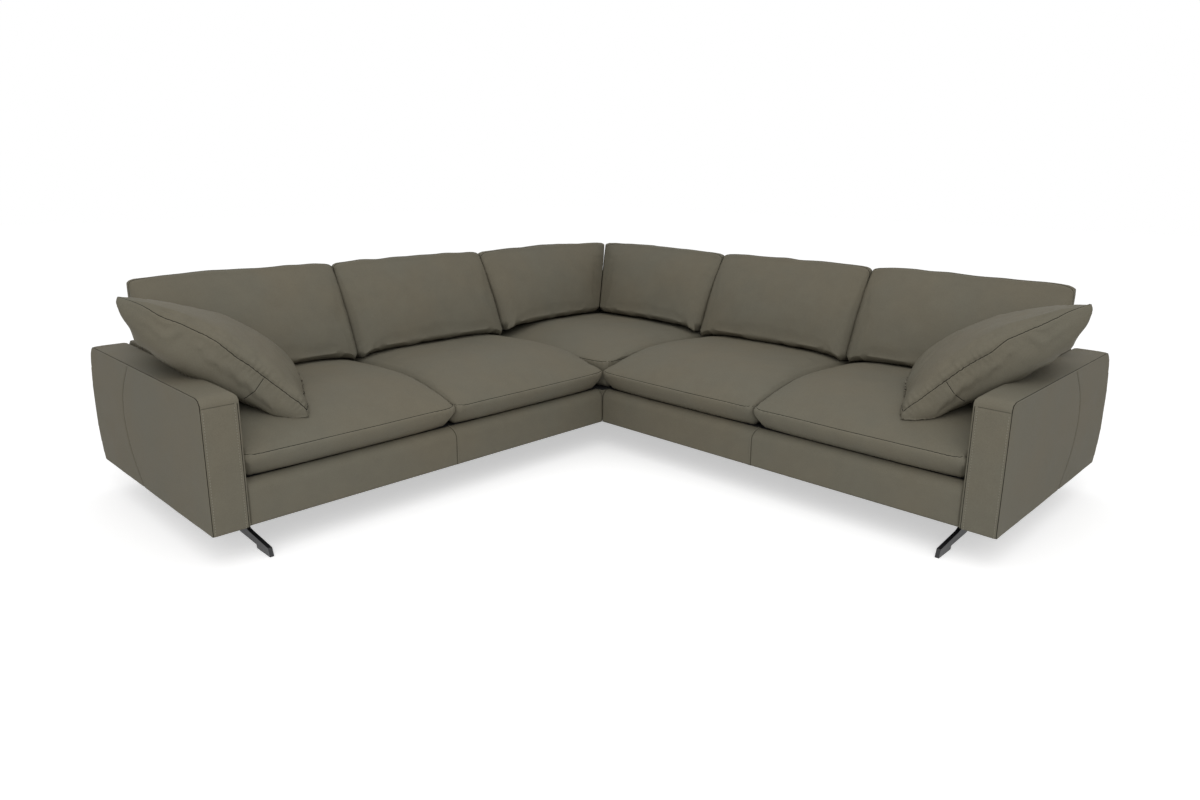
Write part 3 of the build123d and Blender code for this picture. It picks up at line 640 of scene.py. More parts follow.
def close_ends(obj, node, ends):
    """Bring the ends of a cushion out to those of its solid, so that neighbours all but touch."""
    tree = surface(NODES[node])
    points, normals = get_points(obj), get_normals(obj)
    facing = (normals @ np.array(ends).T).max(1)
    share = np.clip((facing - END_FACING[0]) / (END_FACING[1] - END_FACING[0]), 0, 1)
    for i in np.nonzero(share)[0]:
        _, _, out = off_surface(tree, Vector(points[i]))
        points[i] += normals[i] * ((END_PROUD - out) * share[i])
    set_points(obj, points)


def subdivide(obj):
    mod = obj.modifiers.new("Fine", "SUBSURF")
    mod.levels = 1
    mod.render_levels = 1
    apply_modifiers(obj)


RELAX = (8, 3)  # evening passes after each return to the solid


def swollen(node, voxel, path_of, proud, slack=SLACK):
    """Simulated mesh of a cushion of the right wing, held along its seam."""
    obj = remeshed(node, voxel, node + "_form", SHRINK_START)
    distance, _ = near(get_points(obj), resample(path_of(obj), voxel / 2, True))
    blow_up(obj, np.nonzero(distance < PIN_REACH * voxel)[0])
    for passes in RELAX:
        keep_to(obj, node, proud, slack)
        relax(obj, passes)
    subdivide(obj)
    SCENE.collection.objects.unlink(obj)
    return obj


def copy_of(form, name, shift=Vector((0, 0, 0))):
    """Copy of a simulated form, moved along the wing."""
    obj = new_object(name, form.data.copy())
    set_points(obj, get_points(obj) + np.array(shift))
    return obj


def middle_of(node):
    low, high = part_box(node)
    return (low + high) / 2


# Seat cushions
SEAT_SEAM_Z = 0.377
SEAT_VOXEL = 0.012
CORNER_SEAM_Z = 0.415
PUCKER = 0.0016
PUCKER_LENGTH = 0.021
PUCKER_REACH = 0.030
PUCKER_SPREAD = 0.14
PUCKER_LEAST = 0.22  # share of the gathers far from the ends
PUCKER_WOBBLE = (2.5, 0.05)  # how far the gathers wander, and over what length
PUCKER_MIX = (0.6, 0.4, 0.09)  # their mean height, how much it varies, and over what length
WAVE_FINE = 0.4  # height and size of the finer waves against the slow ones
WAVE_BIAS = 0.4
WAVE_FADE = 0.04  # height above the underside over which waves begin
SEAT_WAVE = (0.0035, 0.24)  # height and size of the slow waves
SEAM_IN = (0.002, 0.008)  # depth and width of the hollow along a seam


def seat_loop(z, node):
    return lambda obj: even_out(loop_at(obj, z, middle_of(node)), passes=2, closed=True)


def pucker(obj, path, ends, seed):
    """Small gathers along a seam, strongest near the given ends of it."""
    points = get_points(obj)
    distance, index = near(points, path)
    run = run_along(np.array(path))[index]
    nearest_end = np.min([lengths(points - np.array(e)) for e in ends], axis=0)
    weight = PUCKER_LEAST + bell(nearest_end, PUCKER_SPREAD)
    wobble = PUCKER_WOBBLE[0] * smooth_noise(points, PUCKER_WOBBLE[1], seed)
    height = PUCKER_MIX[0] + PUCKER_MIX[1] * smooth_noise(points, PUCKER_MIX[2], seed + 3)
    wave = np.sin(2 * math.pi * run / PUCKER_LENGTH + wobble) * height
    push(obj, PUCKER * weight * wave * bell(distance, PUCKER_REACH))


def undulate(obj, amount, size, seed, floor=None):
    """Slow soft unevenness of filled leather, none on the flat underside."""
    points = get_points(obj)
    wave = smooth_noise(points, size, seed)
    wave += WAVE_FINE * smooth_noise(points, size * WAVE_FINE, seed + 11)
    lift = amount * (wave - WAVE_BIAS)
    if floor is not None:
        lift *= np.clip((points[:, 2] - floor) / WAVE_FADE, 0, 1)
    push(obj, lift)


def leather_piece(obj, body):
    dress(obj, "leather")
    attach(obj, body)


def soft_piece(obj, node, body):
    leather_piece(obj, body)
    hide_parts(node)


CORNER_FILL = 0.018  # how much fuller a free front corner is than the solid
CORNER_REACH = np.array([0.07, 0.10, 0.06])


def fill_corners(obj, ends, seam_z):
    """Push the front corners at the given ends of a seat forward along the seam."""
    points = get_points(obj)
    low, high = points.min(0), points.max(0)
    for end in ends:
        corner = np.array([low[0] if end == "low" else high[0], low[1], seam_z])
        weight = np.exp(-(((points - corner) / CORNER_REACH) ** 2).sum(1))
        points[:, 1] -= CORNER_FILL * weight
    set_points(obj, points)


CURL = 0.030  # how far the lower edge of a seat turns under
CURL_END = 0.016
CURL_POWER = 2.2
CURL_REACH = 0.06


def curl(obj, seam_z):
    """Turn the lower edge of a seat's front under, and its two ends there."""
    points = get_points(obj)
    low, high = points.min(0), points.max(0)
    drop = np.clip((seam_z - points[:, 2]) / (seam_z - DECK_TOP), 0, 1) ** CURL_POWER
    front = drop * bell(points[:, 1] - low[1], CURL_REACH)
    points[:, 1] += CURL * front
    points[:, 0] += CURL_END * front * bell(points[:, 0] - low[0], CURL_REACH)
    points[:, 0] -= CURL_END * front * bell(high[0] - points[:, 0], CURL_REACH)
    set_points(obj, points)


INNER_TIP = (0.004, 0.002)  # where the inner seats' front corners nearly meet
TIP_REACH = np.array([0.06, 0.06, 0.05])


def seat(form, node, side, body, shift, seam_z, seed, free_ends=()):
    """One seat cushion with its seam and gathers."""
    obj = copy_of(form, node + "_leather", shift)
    undulate(obj, *SEAT_WAVE, seed, DECK_TOP)
    close_ends(obj, node.replace("left", "right"), ENDS["wing"])
    fill_corners(obj, free_ends, seam_z)
    if node.endswith("cushion_inner"):
        draw_to(obj, [at(*INNER_TIP, seam_z)], TIP_REACH)
    if free_ends:
        curl(obj, seam_z)
    middle = Vector(get_points(obj).mean(0))
    path = even_out(loop_at(obj, seam_z, middle), passes=3, closed=True)
    dense = resample(path, SEAM_STEP, True)
    points = get_points(obj)
    front = points[:, 1].min()
    ends = [Vector((points[:, 0].min(), front, seam_z)), Vector((points[:, 0].max(), front, seam_z))]
    pucker(obj, dense, ends, seed)
    draw_in(obj, dense, *SEAM_IN)
    made = seam(obj, dense, True, 1, node + "_seam")
    place(side, obj, *made)
    soft_piece(obj, node, body)


def seat_form(node, seam_z):
    return swollen(node, SEAT_VOXEL, seat_loop(seam_z, node), CUSHION_PROUD)


STILL = Vector((0, 0, 0))
ONE_SEAT = Vector((SEAT_W, 0, 0))
SEATS = (("inner", STILL, 1, ("high",)), ("outer", ONE_SEAT, 5, ("low", "high")))
wing_form = seat_form("right_seat_cushion_inner", SEAT_SEAM_Z)
for number, side in enumerate(SIDES):
    for which, shift, seed, free in SEATS:
        seat(wing_form, side + "_seat_cushion_" + which, side, side + "_seat_" + which, shift, SEAT_SEAM_Z,
             seed + number, free)
corner_form = seat_form("corner_seat_cushion", CORNER_SEAM_Z)
seat(corner_form, "corner_seat_cushion", "right", "corner_seat", STILL, CORNER_SEAM_Z, seed=9)

# Back cushions
BACK_VOXEL = 0.012
BACK_WAVE = (0.0045, 0.22)
CREASE_HEIGHT = 0.0022
CREASE_SIZE = 0.030
CREASE_STRETCH = np.array([1.0, 1.0, 0.16])
CREASE_LEAST = 0.35  # share of the creases far from the ends
CREASE_FADE = 0.16  # by share of the height, and by metres from the ends
DIP = 0.004  # depth of the dips
DIP_SIZE = 0.11
DIP_STRETCH = np.array([1.0, 0.3, 0.3])
DIP_FROM = 0.75  # share of the height where they begin
DIP_BIAS = 0.6
REAR_SEAM_IN = 0.030  # from the rear face to the seam round it
REAR_FACING = 0.75


def rear_loop(obj):
    """Loop round a back cushion, a little in front of its leaning rear face."""
    points, normals = get_points(obj), get_normals(obj)
    rear = normals[:, 1] > REAR_FACING
    facing = Vector(normals[rear].mean(0)).normalized()
    middle = Vector(points[rear].mean(0)) - facing * REAR_SEAM_IN
    across = Vector((0, 0, 1)).cross(facing).normalized()
    upward = facing.cross(across)
    return even_out(loop_round(obj, middle, across, upward), passes=3, closed=True)


def back_creases(obj, seed):
    """Fine creases that rise from the foot of a back cushion, and dips along its top."""
    points = get_points(obj)
    low, high = points.min(0), points.max(0)
    ridges = smooth_noise(points * CREASE_STRETCH, CREASE_SIZE, seed)
    height = (points[:, 2] - low[2]) / (high[2] - low[2])
    ends = np.minimum(points[:, 0] - low[0], high[0] - points[:, 0])
    weight = np.exp(-height / CREASE_FADE) * (CREASE_LEAST + np.exp(-ends / CREASE_FADE))
    dips = smooth_noise(points * DIP_STRETCH, DIP_SIZE, seed + 5)
    upper = np.clip((height - DIP_FROM) / (1 - DIP_FROM), 0, 1)
    push(obj, CREASE_HEIGHT * ridges * weight + DIP * upper * (dips - DIP_BIAS))


PUFF = 0.018  # outer back cushion over the arm
PUFF_REACH = 0.05
PUFF_ABOVE = 0.03  # height above the arm where it begins


def puff(obj):
    """Let the outer end of a back cushion swell over the arm."""
    points = get_points(obj)
    near_end = bell(points[:, 0].max() - points[:, 0], PUFF_REACH)
    above = np.clip((points[:, 2] - ARM_HI.z - PUFF_ABOVE) / PUFF_REACH, 0, 1)
    points[:, 0] += PUFF * near_end * above * above * (3 - 2 * above)
    set_points(obj, points)


LEAN = (-0.012, 0.033)  # how far the left corner cushion lies over the right one at the foot and the top
LEAN_REACH = 0.22


def lean(obj, side):
    """Tilt the joint of the corner cushions, which lies on the diagonal of the plan."""
    points = get_points(obj)
    low, high = points[:, 2].min(), points[:, 2].max()
    rise = (points[:, 2] - low) / (high - low)
    from_joint = (points[:, 0] + points[:, 1]) / math.sqrt(2)
    tilt = (LEAN[0] + (LEAN[1] - LEAN[0]) * rise) * bell(from_joint, LEAN_REACH)
    if side == "left":
        tilt = -tilt
    points[:, :2] += tilt[:, None] / math.sqrt(2)
    set_points(obj, points)


FOLD = 0.007
FOLD_W = 0.011
FOLD_ALONG = np.array([-0.5, 0.866])  # along the wing and up
FOLD_LENGTH = 0.13
FOLD_FROM = (0.022, 0.004)  # from the outer end and the foot
VALLEY = (0.024, 0.017)  # offset and width of the hollow beside the fold
VALLEY_SHARE = 0.9  # its depth against the fold's height


def corner_fold(obj):
    """Fold of slack leather that rises from the lower outer corner of a back cushion."""
    points, normals = get_points(obj), get_normals(obj)
    corner = np.array([points[:, 0].max() - FOLD_FROM[0], points[:, 2].min() + FOLD_FROM[1]])
    off = points[:, [0, 2]] - corner
    run = off @ FOLD_ALONG
    across = off @ np.array([FOLD_ALONG[1], -FOLD_ALONG[0]])
    fade = np.clip(1 - run / FOLD_LENGTH, 0, 1) * np.clip(-normals[:, 1], 0, 1)
    ridge = bell(across, FOLD_W) - VALLEY_SHARE * bell(across + VALLEY[0], VALLEY[1])
    push(obj, FOLD * fade * ridge * (run > -FOLD_LENGTH))


def back(form, node, side, body, shift, seed):
    """One back cushion with creases at its foot and a seam round its rear edge."""
    obj = copy_of(form, node + "_leather", shift)
    undulate(obj, *BACK_WAVE, seed)
    close_ends(obj, node.replace("left", "right"), ENDS["corner" if "corner" in node else "wing"])
    if node.endswith("outer"):
        puff(obj)
    if "corner" in node:
        lean(obj, side)
    back_creases(obj, seed)
    corner_fold(obj)
    path = resample(rear_loop(obj), SEAM_STEP, True)
    draw_in(obj, path, *SEAM_IN)
    made = seam(obj, path, True, 1, node + "_seam")
    place(side, obj, *made)
    soft_piece(obj, node, body)


back_form = swollen("right_back_cushion_inner", BACK_VOXEL, rear_loop, CUSHION_PROUD)
fan_form = swollen("right_corner_back_cushion", BACK_VOXEL, rear_loop, CUSHION_PROUD)
BACKS = (
    (back_form, "_back_cushion_inner", "_back_inner", STILL, 21),
    (back_form, "_back_cushion_outer", "_back_outer", ONE_SEAT, 25),
    (fan_form, "_corner_back_cushion", "_corner_back", STILL, 29),
)
for number, side in enumerate(SIDES):
    for form, node, body, shift, seed in BACKS:
        back(form, side + node, side, side + body, shift, seed + number)

# Scatter cushions
SCATTER_VOXEL = 0.008
SCATTER_SLACK = 0.003
SCATTER_PROUD = 0.008
SCATTER_WAVE = (0.005, 0.14)
SCATTER_TURN = math.radians(21.0)
SCATTER_OUT = np.array([math.cos(SCATTER_TURN), math.sin(SCATTER_TURN), 0])
SCATTER_AWAY = np.array([-math.sin(SCATTER_TURN), math.cos(SCATTER_TURN), 0])
SCATTER_ARCH = 0.046  # rise of the front and back seams between their corners
RIM_SLICES = 40
RESTS_ON = ("right_seat_cushion_outer", "right_arm_cover")
PRESS_REACH = 0.03
PRESS_GAP = 0.0008
SCATTER_SAG = 0.022  # how far its middle hangs
SAG_STEPS = 3
SCATTER_TIP_REACH = np.array([0.10, 0.10, 0.10])
TIP_BAND = 0.004  # points this near the outermost one make a corner
TIP_RISE = 0.024  # how far the lower front corner stands above the solid's
TIP_OUT = 0.012  # how far the upper front corner reaches past the solid's
FACES_DOWN = 0.3  # upward share of a normal below which a point counts as under the cushion
LOBE = 0.034  # swell below the lower front corner
LOBE_OUT = 0.06  # from that corner towards the arm
LOBE_REACH = 0.075
END_LOBE = 0.012  # swell below the upper front corner
END_LOBE_WAY = SCATTER_OUT - np.array([0, 0, 0.5])
END_LOBE_REACH = 0.10
BELLY = 0.022  # swell of the lower edge towards the seat
BELLY_REACH = 0.10
JOWL = 0.014  # swell below the front seam
JOWL_WAY = -0.8 * SCATTER_AWAY - np.array([0, 0, 0.6])
SEAM_DRIFT = (0.004, 0.07)  # waver of the seam, and over what length
SEAM_RAISE = (0.016, 0.07)  # how far the seam passes above the lower front corner, and the reach of that
SEAM_END_RAISE = (0.036, 0.09)  # the same at the upper front corner
RIM_IN = (0.003, 0.009)  # depth and width of the hollow along the seam
JOIN_AT = 0.19  # join of two hides along the front seam from the lower corner
JOIN_RUN = (0.075, -0.075)  # how far it goes outwards and down the under side
JOIN_SAG = -0.008
GROOVE = (0.0022, 0.005)  # depth and width of the hollow along a cover's seam
# Height of the wave in the front seam, by share of the way from the lower to the upper corner
SEAM_WAVES = {
    "right": ((0.0, 0.50, 0.58, 0.80, 1.0), (0.0, -0.002, 0.015, 0.010, 0.0)),
    "left": ((0.0, 0.40, 0.50, 0.72, 1.0), (0.0, -0.002, 0.016, 0.012, 0.0)),
}


def rim(obj):
    """Seam of the scatter cushion: along its two ridges and over the arches of its two ends."""
    points = get_points(obj)
    u, v = points @ SCATTER_OUT, points @ SCATTER_AWAY
    edges = np.linspace(v.min(), v.max(), RIM_SLICES + 1)
    lower, upper = [], []
    for first, last in zip(edges, edges[1:]):
        members = np.nonzero((v >= first) & (v <= last))[0]
        lower.append(Vector(points[members[u[members].argmin()]]))
        upper.append(Vector(points[members[u[members].argmax()]]))
    arches = []
    for low, high in ((lower[0], upper[0]), (lower[-1], upper[-1])):
        chord = high - low
        lift = chord.cross(Vector(SCATTER_AWAY)).normalized()
        lift *= math.copysign(SCATTER_ARCH, lift.z)
        shares = np.linspace(0, 1, RIM_SLICES)[1:-1]
        arches.append([low + chord * q + lift * (4 * q * (1 - q)) for q in shares])
    return even_out(arches[0] + upper + arches[1][::-1] + lower[::-1], passes=2, closed=True)


def clear_of(obj, nodes, gap):
    """Push points of a soft piece out of the solids that it lies on."""
    points = get_points(obj)
    for node in nodes:
        tree = surface(NODES[node])
        for i, p in enumerate(points):
            spot, normal, _, _ = tree.find_nearest(Vector(p), PRESS_REACH)
            if spot is not None and (Vector(p) - spot).dot(normal) < gap:
                points[i] = np.array(spot + normal * gap)
    set_points(obj, points)


def corners_of(node):
    """Corners of the scatter solid: lower and upper at the front, lower and upper at the back."""
    points = get_points(NODES[node])
    u, v = points @ SCATTER_OUT, points @ SCATTER_AWAY
    found = []
    for ahead_sign in (-1, 1):
        for out_sign in (-1, 1):
            score = out_sign * u + ahead_sign * v
            corner = points[score > score.max() - TIP_BAND].mean(0)
            found.append(corner - SCATTER_OUT * (out_sign * TIP_BAND))
    return found


def settle(form, node):
    """Draw the corners of the scatter cushion out and let its middle hang onto the arm and the seat."""
    corners = corners_of(node)
    corners[0][2] += TIP_RISE
    corners[1] += SCATTER_OUT * TIP_OUT
    draw_to(form, corners, SCATTER_TIP_REACH)
    points, normals = get_points(form), get_normals(form)
    u, v = points @ SCATTER_OUT, points @ SCATTER_AWAY
    share, back_share = (u - u.min()) / np.ptp(u), (v - v.min()) / np.ptp(v)
    belly = bell(u - u.min(), BELLY_REACH) * 4 * back_share * (1 - back_share)
    points -= SCATTER_OUT * (BELLY * belly)[:, None]
    jowl = np.clip(-(normals @ SCATTER_AWAY), 0, 1) * np.clip(FACES_DOWN - normals[:, 2], 0, 1)
    jowl = jowl * 4 * share * (1 - share)
    points += JOWL_WAY * (JOWL * jowl)[:, None]
    set_points(form, points)
    for _ in range(SAG_STEPS):
        points, normals = get_points(form), get_normals(form)
        u = points @ SCATTER_OUT
        share = (u - u.min()) / (u.max() - u.min())
        points[:, 2] -= SCATTER_SAG / SAG_STEPS * 4 * share * (1 - share)
        under = np.clip(FACES_DOWN - normals[:, 2], 0, 1)
        away = lengths(points - corners[0] - SCATTER_OUT * LOBE_OUT)
        points[:, 2] -= LOBE / SAG_STEPS * (bell(away, LOBE_REACH) * under)
        away = lengths(points - corners[1])
        points += END_LOBE_WAY * (END_LOBE / SAG_STEPS * (bell(away, END_LOBE_REACH) * under))[:, None]
        set_points(form, points)
        clear_of(form, RESTS_ON, PRESS_GAP)


def sewn(obj, name, lines):
    """Open seams (label, path, lip side, look of the crease), each in its hollow."""
    made = []
    for label, line, lip, look in lines:
        dense = resample(line, SEAM_STEP)
        draw_in(obj, dense, *GROOVE)
        made += seam(obj, dense, False, lip, name + "_" + label, look)
    return made


def scatter(form, side, seed):
    """One scatter cushion, slack and creased along its seam."""
    node = side + "_scatter_cushion"
    obj = copy_of(form, node + "_leather")
    undulate(obj, *SCATTER_WAVE, seed)
    clear_of(obj, RESTS_ON, PRESS_GAP)
    dense = resample(rim(obj), SEAM_STEP, True)
    line = np.array(dense)
    front, out = line @ SCATTER_AWAY, line @ SCATTER_OUT
    drift = smooth_noise(dense, SEAM_DRIFT[1], seed) * SEAM_DRIFT[0]
    ahead_part = np.clip((np.median(front) - front) / TIP_BAND, 0, 1)
    drift += ahead_part * np.interp((out - out.min()) / (out.max() - out.min()), *SEAM_WAVES[side])
    raised = (((out + front).argmin(), SEAM_RAISE), ((out - front).argmax(), SEAM_END_RAISE))
    for corner, (rise, reach) in raised:
        drift += rise * bell(lengths(line - line[corner]), reach)
    dense = [p + Vector((0, 0, d)) for p, d in zip(dense, drift)]
    pucker(obj, dense, [dense[0], dense[RIM_SLICES]], seed)
    draw_in(obj, dense, *RIM_IN)
    made = seam(obj, dense, True, 1, node + "_seam")
    join = dense[int(JOIN_AT / SEAM_STEP)]
    below = join + Vector(SCATTER_OUT) * JOIN_RUN[0] + Vector((0, 0, JOIN_RUN[1]))
    bend = (join + below) / 2 + Vector((0, 0, JOIN_SAG))
    made += sewn(obj, node, [("join", [join, bend, below], 1, "crease")])
    place(side, obj, *made)
    soft_piece(obj, node, side + "_scatter")


scatter_form = swollen("right_scatter_cushion", SCATTER_VOXEL, rim, SCATTER_PROUD, SCATTER_SLACK)
settle(scatter_form, "right_scatter_cushion")
for number, side in enumerate(SIDES):
    scatter(scatter_form, side, 41 + number)

# Leather covers of the arms and the fixed backs
COVER_VOXEL = 0.0045
COVER_WAVE = (0.0009, 0.20)
ARM_OUT = 0.125  # width of the arm beyond the seats
ARM_S = (ARM_LO.x - CX, WING + ARM_OUT)
ARM_T = (ARM_LO.y - CY, ARM_HI.y - CY)
ARM_TOP = ARM_HI.z
ARM_ROUND = 0.038
ARM_SWELL = 0.016
ARM_MORE = 0.014  # how much wider than the solid the arm is at the back
ARM_RISE = 0.008  # how much higher it is there
TOP_SEAM_Z = ARM_TOP - 0.036
STITCH_IN = (0.017, 0.009)  # rows of stitches inside the inner and outer front edges
STITCH_ENDS = (0.004, 0.006)  # where they stop short at the foot and the top
INNER_SEAM_IN = 0.007
CROSS_SHORT = 0.004  # where the cross seam stops short of the outer edge
# Join of two hides on the outer side, as (t, z)
ARM_JOIN = ((0.635, ARM_TOP - 0.008), (0.70, 0.50), (0.715, 0.40), (0.69, 0.27), (0.62, BASE_Z))
JOIN_STEP = 0.02
BACK_EDGE_IN = 0.009  # seam on the fixed back from its rear and top
BACK_SEAM_ENDS = (0.01, 0.004)


def rounded(corner, start, steps=8):
    """Quarter turn of the arm's side outline about a centre (t, z), from an angle in degrees."""
    t, z = corner
    turns = [math.radians(start + 90 * i / steps) for i in range(steps + 1)]
    return [(t + ARM_ROUND * math.cos(a), z + ARM_ROUND * math.sin(a)) for a in turns]


def arm_outer(t, z):
    """Point of the outer side of the arm."""
    share = (z - BASE_Z) / (ARM_TOP - BASE_Z)
    depth = (t - ARM_T[0]) / (ARM_T[1] - ARM_T[0])
    out = ARM_MORE * depth + ARM_SWELL * depth * 4 * share * (1 - share)
    return at(ARM_S[1] + out, t, z + ARM_RISE * depth * share ** 2)


def widen(obj):
    """Let the outer side and the top of the arm swell towards the back."""
    points = get_points(obj)
    depth = np.clip((points[:, 1] - CY - ARM_T[0]) / (ARM_T[1] - ARM_T[0]), 0, 1)
    out = np.clip((points[:, 0] - CX - ARM_S[0]) / (ARM_S[1] - ARM_S[0]), 0, 1)
    height = np.clip((points[:, 2] - BASE_Z) / (ARM_TOP - BASE_Z), 0, 1)
    points[:, 0] += ARM_MORE * depth * out ** 2
    points[:, 2] += ARM_RISE * depth * height ** 2
    set_points(obj, points)


def arm_seams(obj, name):
    """Seams and stitches of an arm of the right wing."""
    under = ARM_TOP - ARM_ROUND
    outline = [(ARM_T[1], BASE_Z), (ARM_T[1], under)]
    outline += rounded((ARM_T[1] - ARM_ROUND, under), 0)
    outline += rounded((ARM_T[0] + ARM_ROUND, under), 90)
    outline += [(ARM_T[0], under), (ARM_T[0], BASE_Z)]
    edge = [arm_outer(t, z) for t, z in outline]
    inner = [at(ARM_S[0] + INNER_SEAM_IN, ARM_T[0], z) for z in (BASE_Z, TOP_SEAM_Z)]
    cross = [at(s, ARM_T[0], TOP_SEAM_Z) for s in (ARM_S[0] + STITCH_IN[0], ARM_S[1] - CROSS_SHORT)]
    join = even_out(resample([arm_outer(t, z) for t, z in ARM_JOIN], JOIN_STEP), passes=6)
    made = sewn(obj, name, [("edge", edge, -1, "crease"), ("inner", inner, 1, "crease"),
                            ("cross", cross, 0, "faint"), ("join", join, 0, "faint")])
    for s, label in ((ARM_S[0] + STITCH_IN[0], "inner"), (ARM_S[1] - STITCH_IN[1], "outer")):
        row = [at(s, ARM_T[0], z) for z in (BASE_Z + STITCH_ENDS[0], TOP_SEAM_Z - STITCH_ENDS[1])]
        made.append(stitches(obj, row, name + "_" + label + "_stitches"))
    return made


def back_seams(obj, name):
    """Seams of a fixed back of the right wing or the corner: along its top's rear edge, and upright."""
    points = get_points(obj)
    low, high = points.min(0), points.max(0)
    top = high[2] - BACK_EDGE_IN
    ends = (low[0] + BACK_SEAM_ENDS[0], high[0] - BACK_SEAM_ENDS[1])
    edge = [Vector((x, high[1] - BACK_EDGE_IN, top)) for x in ends]
    middle = (max(low[0], high[0] - WING) + high[0]) / 2
    upright = [Vector((middle, high[1], z)) for z in (low[2], top)]
    return sewn(obj, name, [("top", edge, 1, "crease"), ("upright", upright, 1, "crease")])


def cover(kind, body, seams, seed, shape=None):
    """Leather cover of both wings, with its seams; shape changes its form first."""
    form = remeshed("right_" + kind, COVER_VOXEL, kind + "_form")
    if shape:
        shape(form)
    SCENE.collection.objects.unlink(form)
    for number, side in enumerate(SIDES):
        node = side + "_" + kind
        obj = copy_of(form, node + "_leather")
        undulate(obj, *COVER_WAVE, seed + number)
        made = seams(obj, node)
        place(side, obj, *made)
        leather_piece(obj, body.format(side))
        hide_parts(node)


# Padded border along the front of a wing
BORDER_LO, BORDER_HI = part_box("right_base_cover")
BORDER_FACE = 0.240  # height where the upright face ends
BORDER_ROLL = 0.013  # swell of the rolled edge
BORDER_TOP = 0.040  # depth of the roll
BORDER_WAVE = (0.0016, 0.16)  # height and size of its waves
BORDER_STRETCH = np.array([1, 0.6, 0.6])
BORDER_FINE = 0.05  # size of the finer waves, half as high
BORDER_ENDS = 0.001  # where it stops short at its ends and its foot
BORDER_FACE_ROWS = 20
BORDER_ROLL_ROWS = 13
BORDER_SKIN = 0.0008
BORDER_STEP = 0.006
BORDER_SEAM = 0.850
BORDER_BEND = 0.012  # how far the seam leans over the roll
BORDER_LIFT = 0.004  # height from which the seam is laid on the leather


def border_outline():
    """Outline (t, z) of the border from its lower edge over the roll, with outward directions."""
    face = [(0.0, z) for z in np.linspace(BORDER_LO.z + BORDER_ENDS, BORDER_FACE, BORDER_FACE_ROWS)]
    start, end = Vector((0, BORDER_FACE)), Vector((BORDER_TOP, BORDER_HI.z))
    chord = end - start
    out = Vector((-chord.y, chord.x)).normalized()
    roll = []
    for q in np.linspace(0, 1, BORDER_ROLL_ROWS)[1:]:
        spot = start + chord * float(q) + out * (BORDER_ROLL * 4 * q * (1 - q))
        roll.append((spot.x, spot.y))
    outline = np.array(face + roll)
    along_it = np.gradient(outline, axis=0)
    outward = np.stack([-along_it[:, 1], along_it[:, 0]], axis=1)
    return outline, outward / np.linalg.norm(outward, axis=1, keepdims=True)


def border(side, seed):
    """Soft leather over the border, with the seam at its middle."""
    outline, outward = border_outline()
    run = np.arange(UNIT_GAP + BORDER_ENDS, WING - BORDER_ENDS, BORDER_STEP)
    rows, width = len(run), len(outline)
    places = np.array([at(s, t, z) for s in run for t, z in outline])
    away = np.array([(0, dt, dz) for _ in run for dt, dz in outward])
    wave = smooth_noise(places * BORDER_STRETCH, BORDER_WAVE[1], seed)
    wave += 0.5 * smooth_noise(places, BORDER_FINE, seed + 2)
    outer = places + away * (BORDER_SKIN + BORDER_WAVE[0] * np.clip(0.5 + 0.5 * wave, 0, 1))[:, None]
    inner = places - away * BORDER_SKIN
    count = rows * width
    faces = []
    for i in range(rows - 1):
        for j in range(width - 1):
            a, d = i * width + j, (i + 1) * width + j
            b, c = a + 1, d + 1
            faces += [(a, b, c, d), (count + d, count + c, count + b, count + a)]
        for j in (0, width - 1):
            a, d = i * width + j, (i + 1) * width + j
            faces.append((d, a, count + a, count + d) if j else (a, d, count + d, count + a))
    for j in range(width - 1):
        for i in (0, rows - 1):
            a, b = i * width + j, i * width + j + 1
            faces.append((a, b, count + b, count + a) if i else (b, a, count + a, count + b))
    obj = mesh_object(side + "_border_leather", np.concatenate([outer, inner]).tolist(), faces)
    obj.data.shade_smooth()
    bend = np.clip((outline[:, 1] - BORDER_FACE) / (BORDER_HI.z - BORDER_FACE), 0, 1) ** 2 * BORDER_BEND
    raised = outline + outward * BORDER_LIFT
    path = [at(BORDER_SEAM + shift, t, z) for (t, z), shift in zip(raised, bend)]
    draw_in(obj, resample(path, SEAM_STEP), BORDER_SKIN, GROOVE[1])
    made = seam(obj, path, False, 1, side + "_border_seam", "faint")
    place(side, obj, *made)
    leather_piece(obj, side + "_unit")


for number, side in enumerate(SIDES):
    border(side, 71 + number)

# Leather turned round the upright edge of the corner unit, between the two borders
EDGE_SKIN = 0.0008
EDGE_RUN = 0.050
EDGE_SHORT = (0.007, 0.0005)  # where it stops short of the border's foot and the deck's top
EDGE_Z = (BORDER_LO.z + EDGE_SHORT[0], DECK_TOP - EDGE_SHORT[1])
near_side, far_side = UNIT_GAP - EDGE_SKIN, UNIT_GAP
plan = [(-near_side, EDGE_RUN), (-near_side, near_side), (-EDGE_RUN, near_side),
        (-EDGE_RUN, far_side), (-far_side, far_side), (-far_side, EDGE_RUN)]
ring = len(plan)
walls = [(i, (i + 1) % ring, ring + (i + 1) % ring, ring + i) for i in range(ring)]
caps = [(0, 5, 4, 1), (1, 4, 3, 2), (6, 7, 10, 11), (7, 8, 9, 10)]
edge_points = [at(s, t, z) for z in EDGE_Z for s, t in plan]
corner_edge = mesh_object("corner_edge_leather", edge_points, walls + caps)
edge_bm = bmesh.new()
edge_bm.from_mesh(corner_edge.data)
bmesh.ops.recalc_face_normals(edge_bm, faces=edge_bm.faces)
edge_bm.to_mesh(corner_edge.data)
edge_bm.free()
leather_piece(corner_edge, "corner_unit")

cover("arm_cover", "{}_unit", arm_seams, 51, widen)
cover("back_cover", "{}_unit", back_seams, 55)
cover("corner_back_cover", "corner_unit", back_seams, 59)

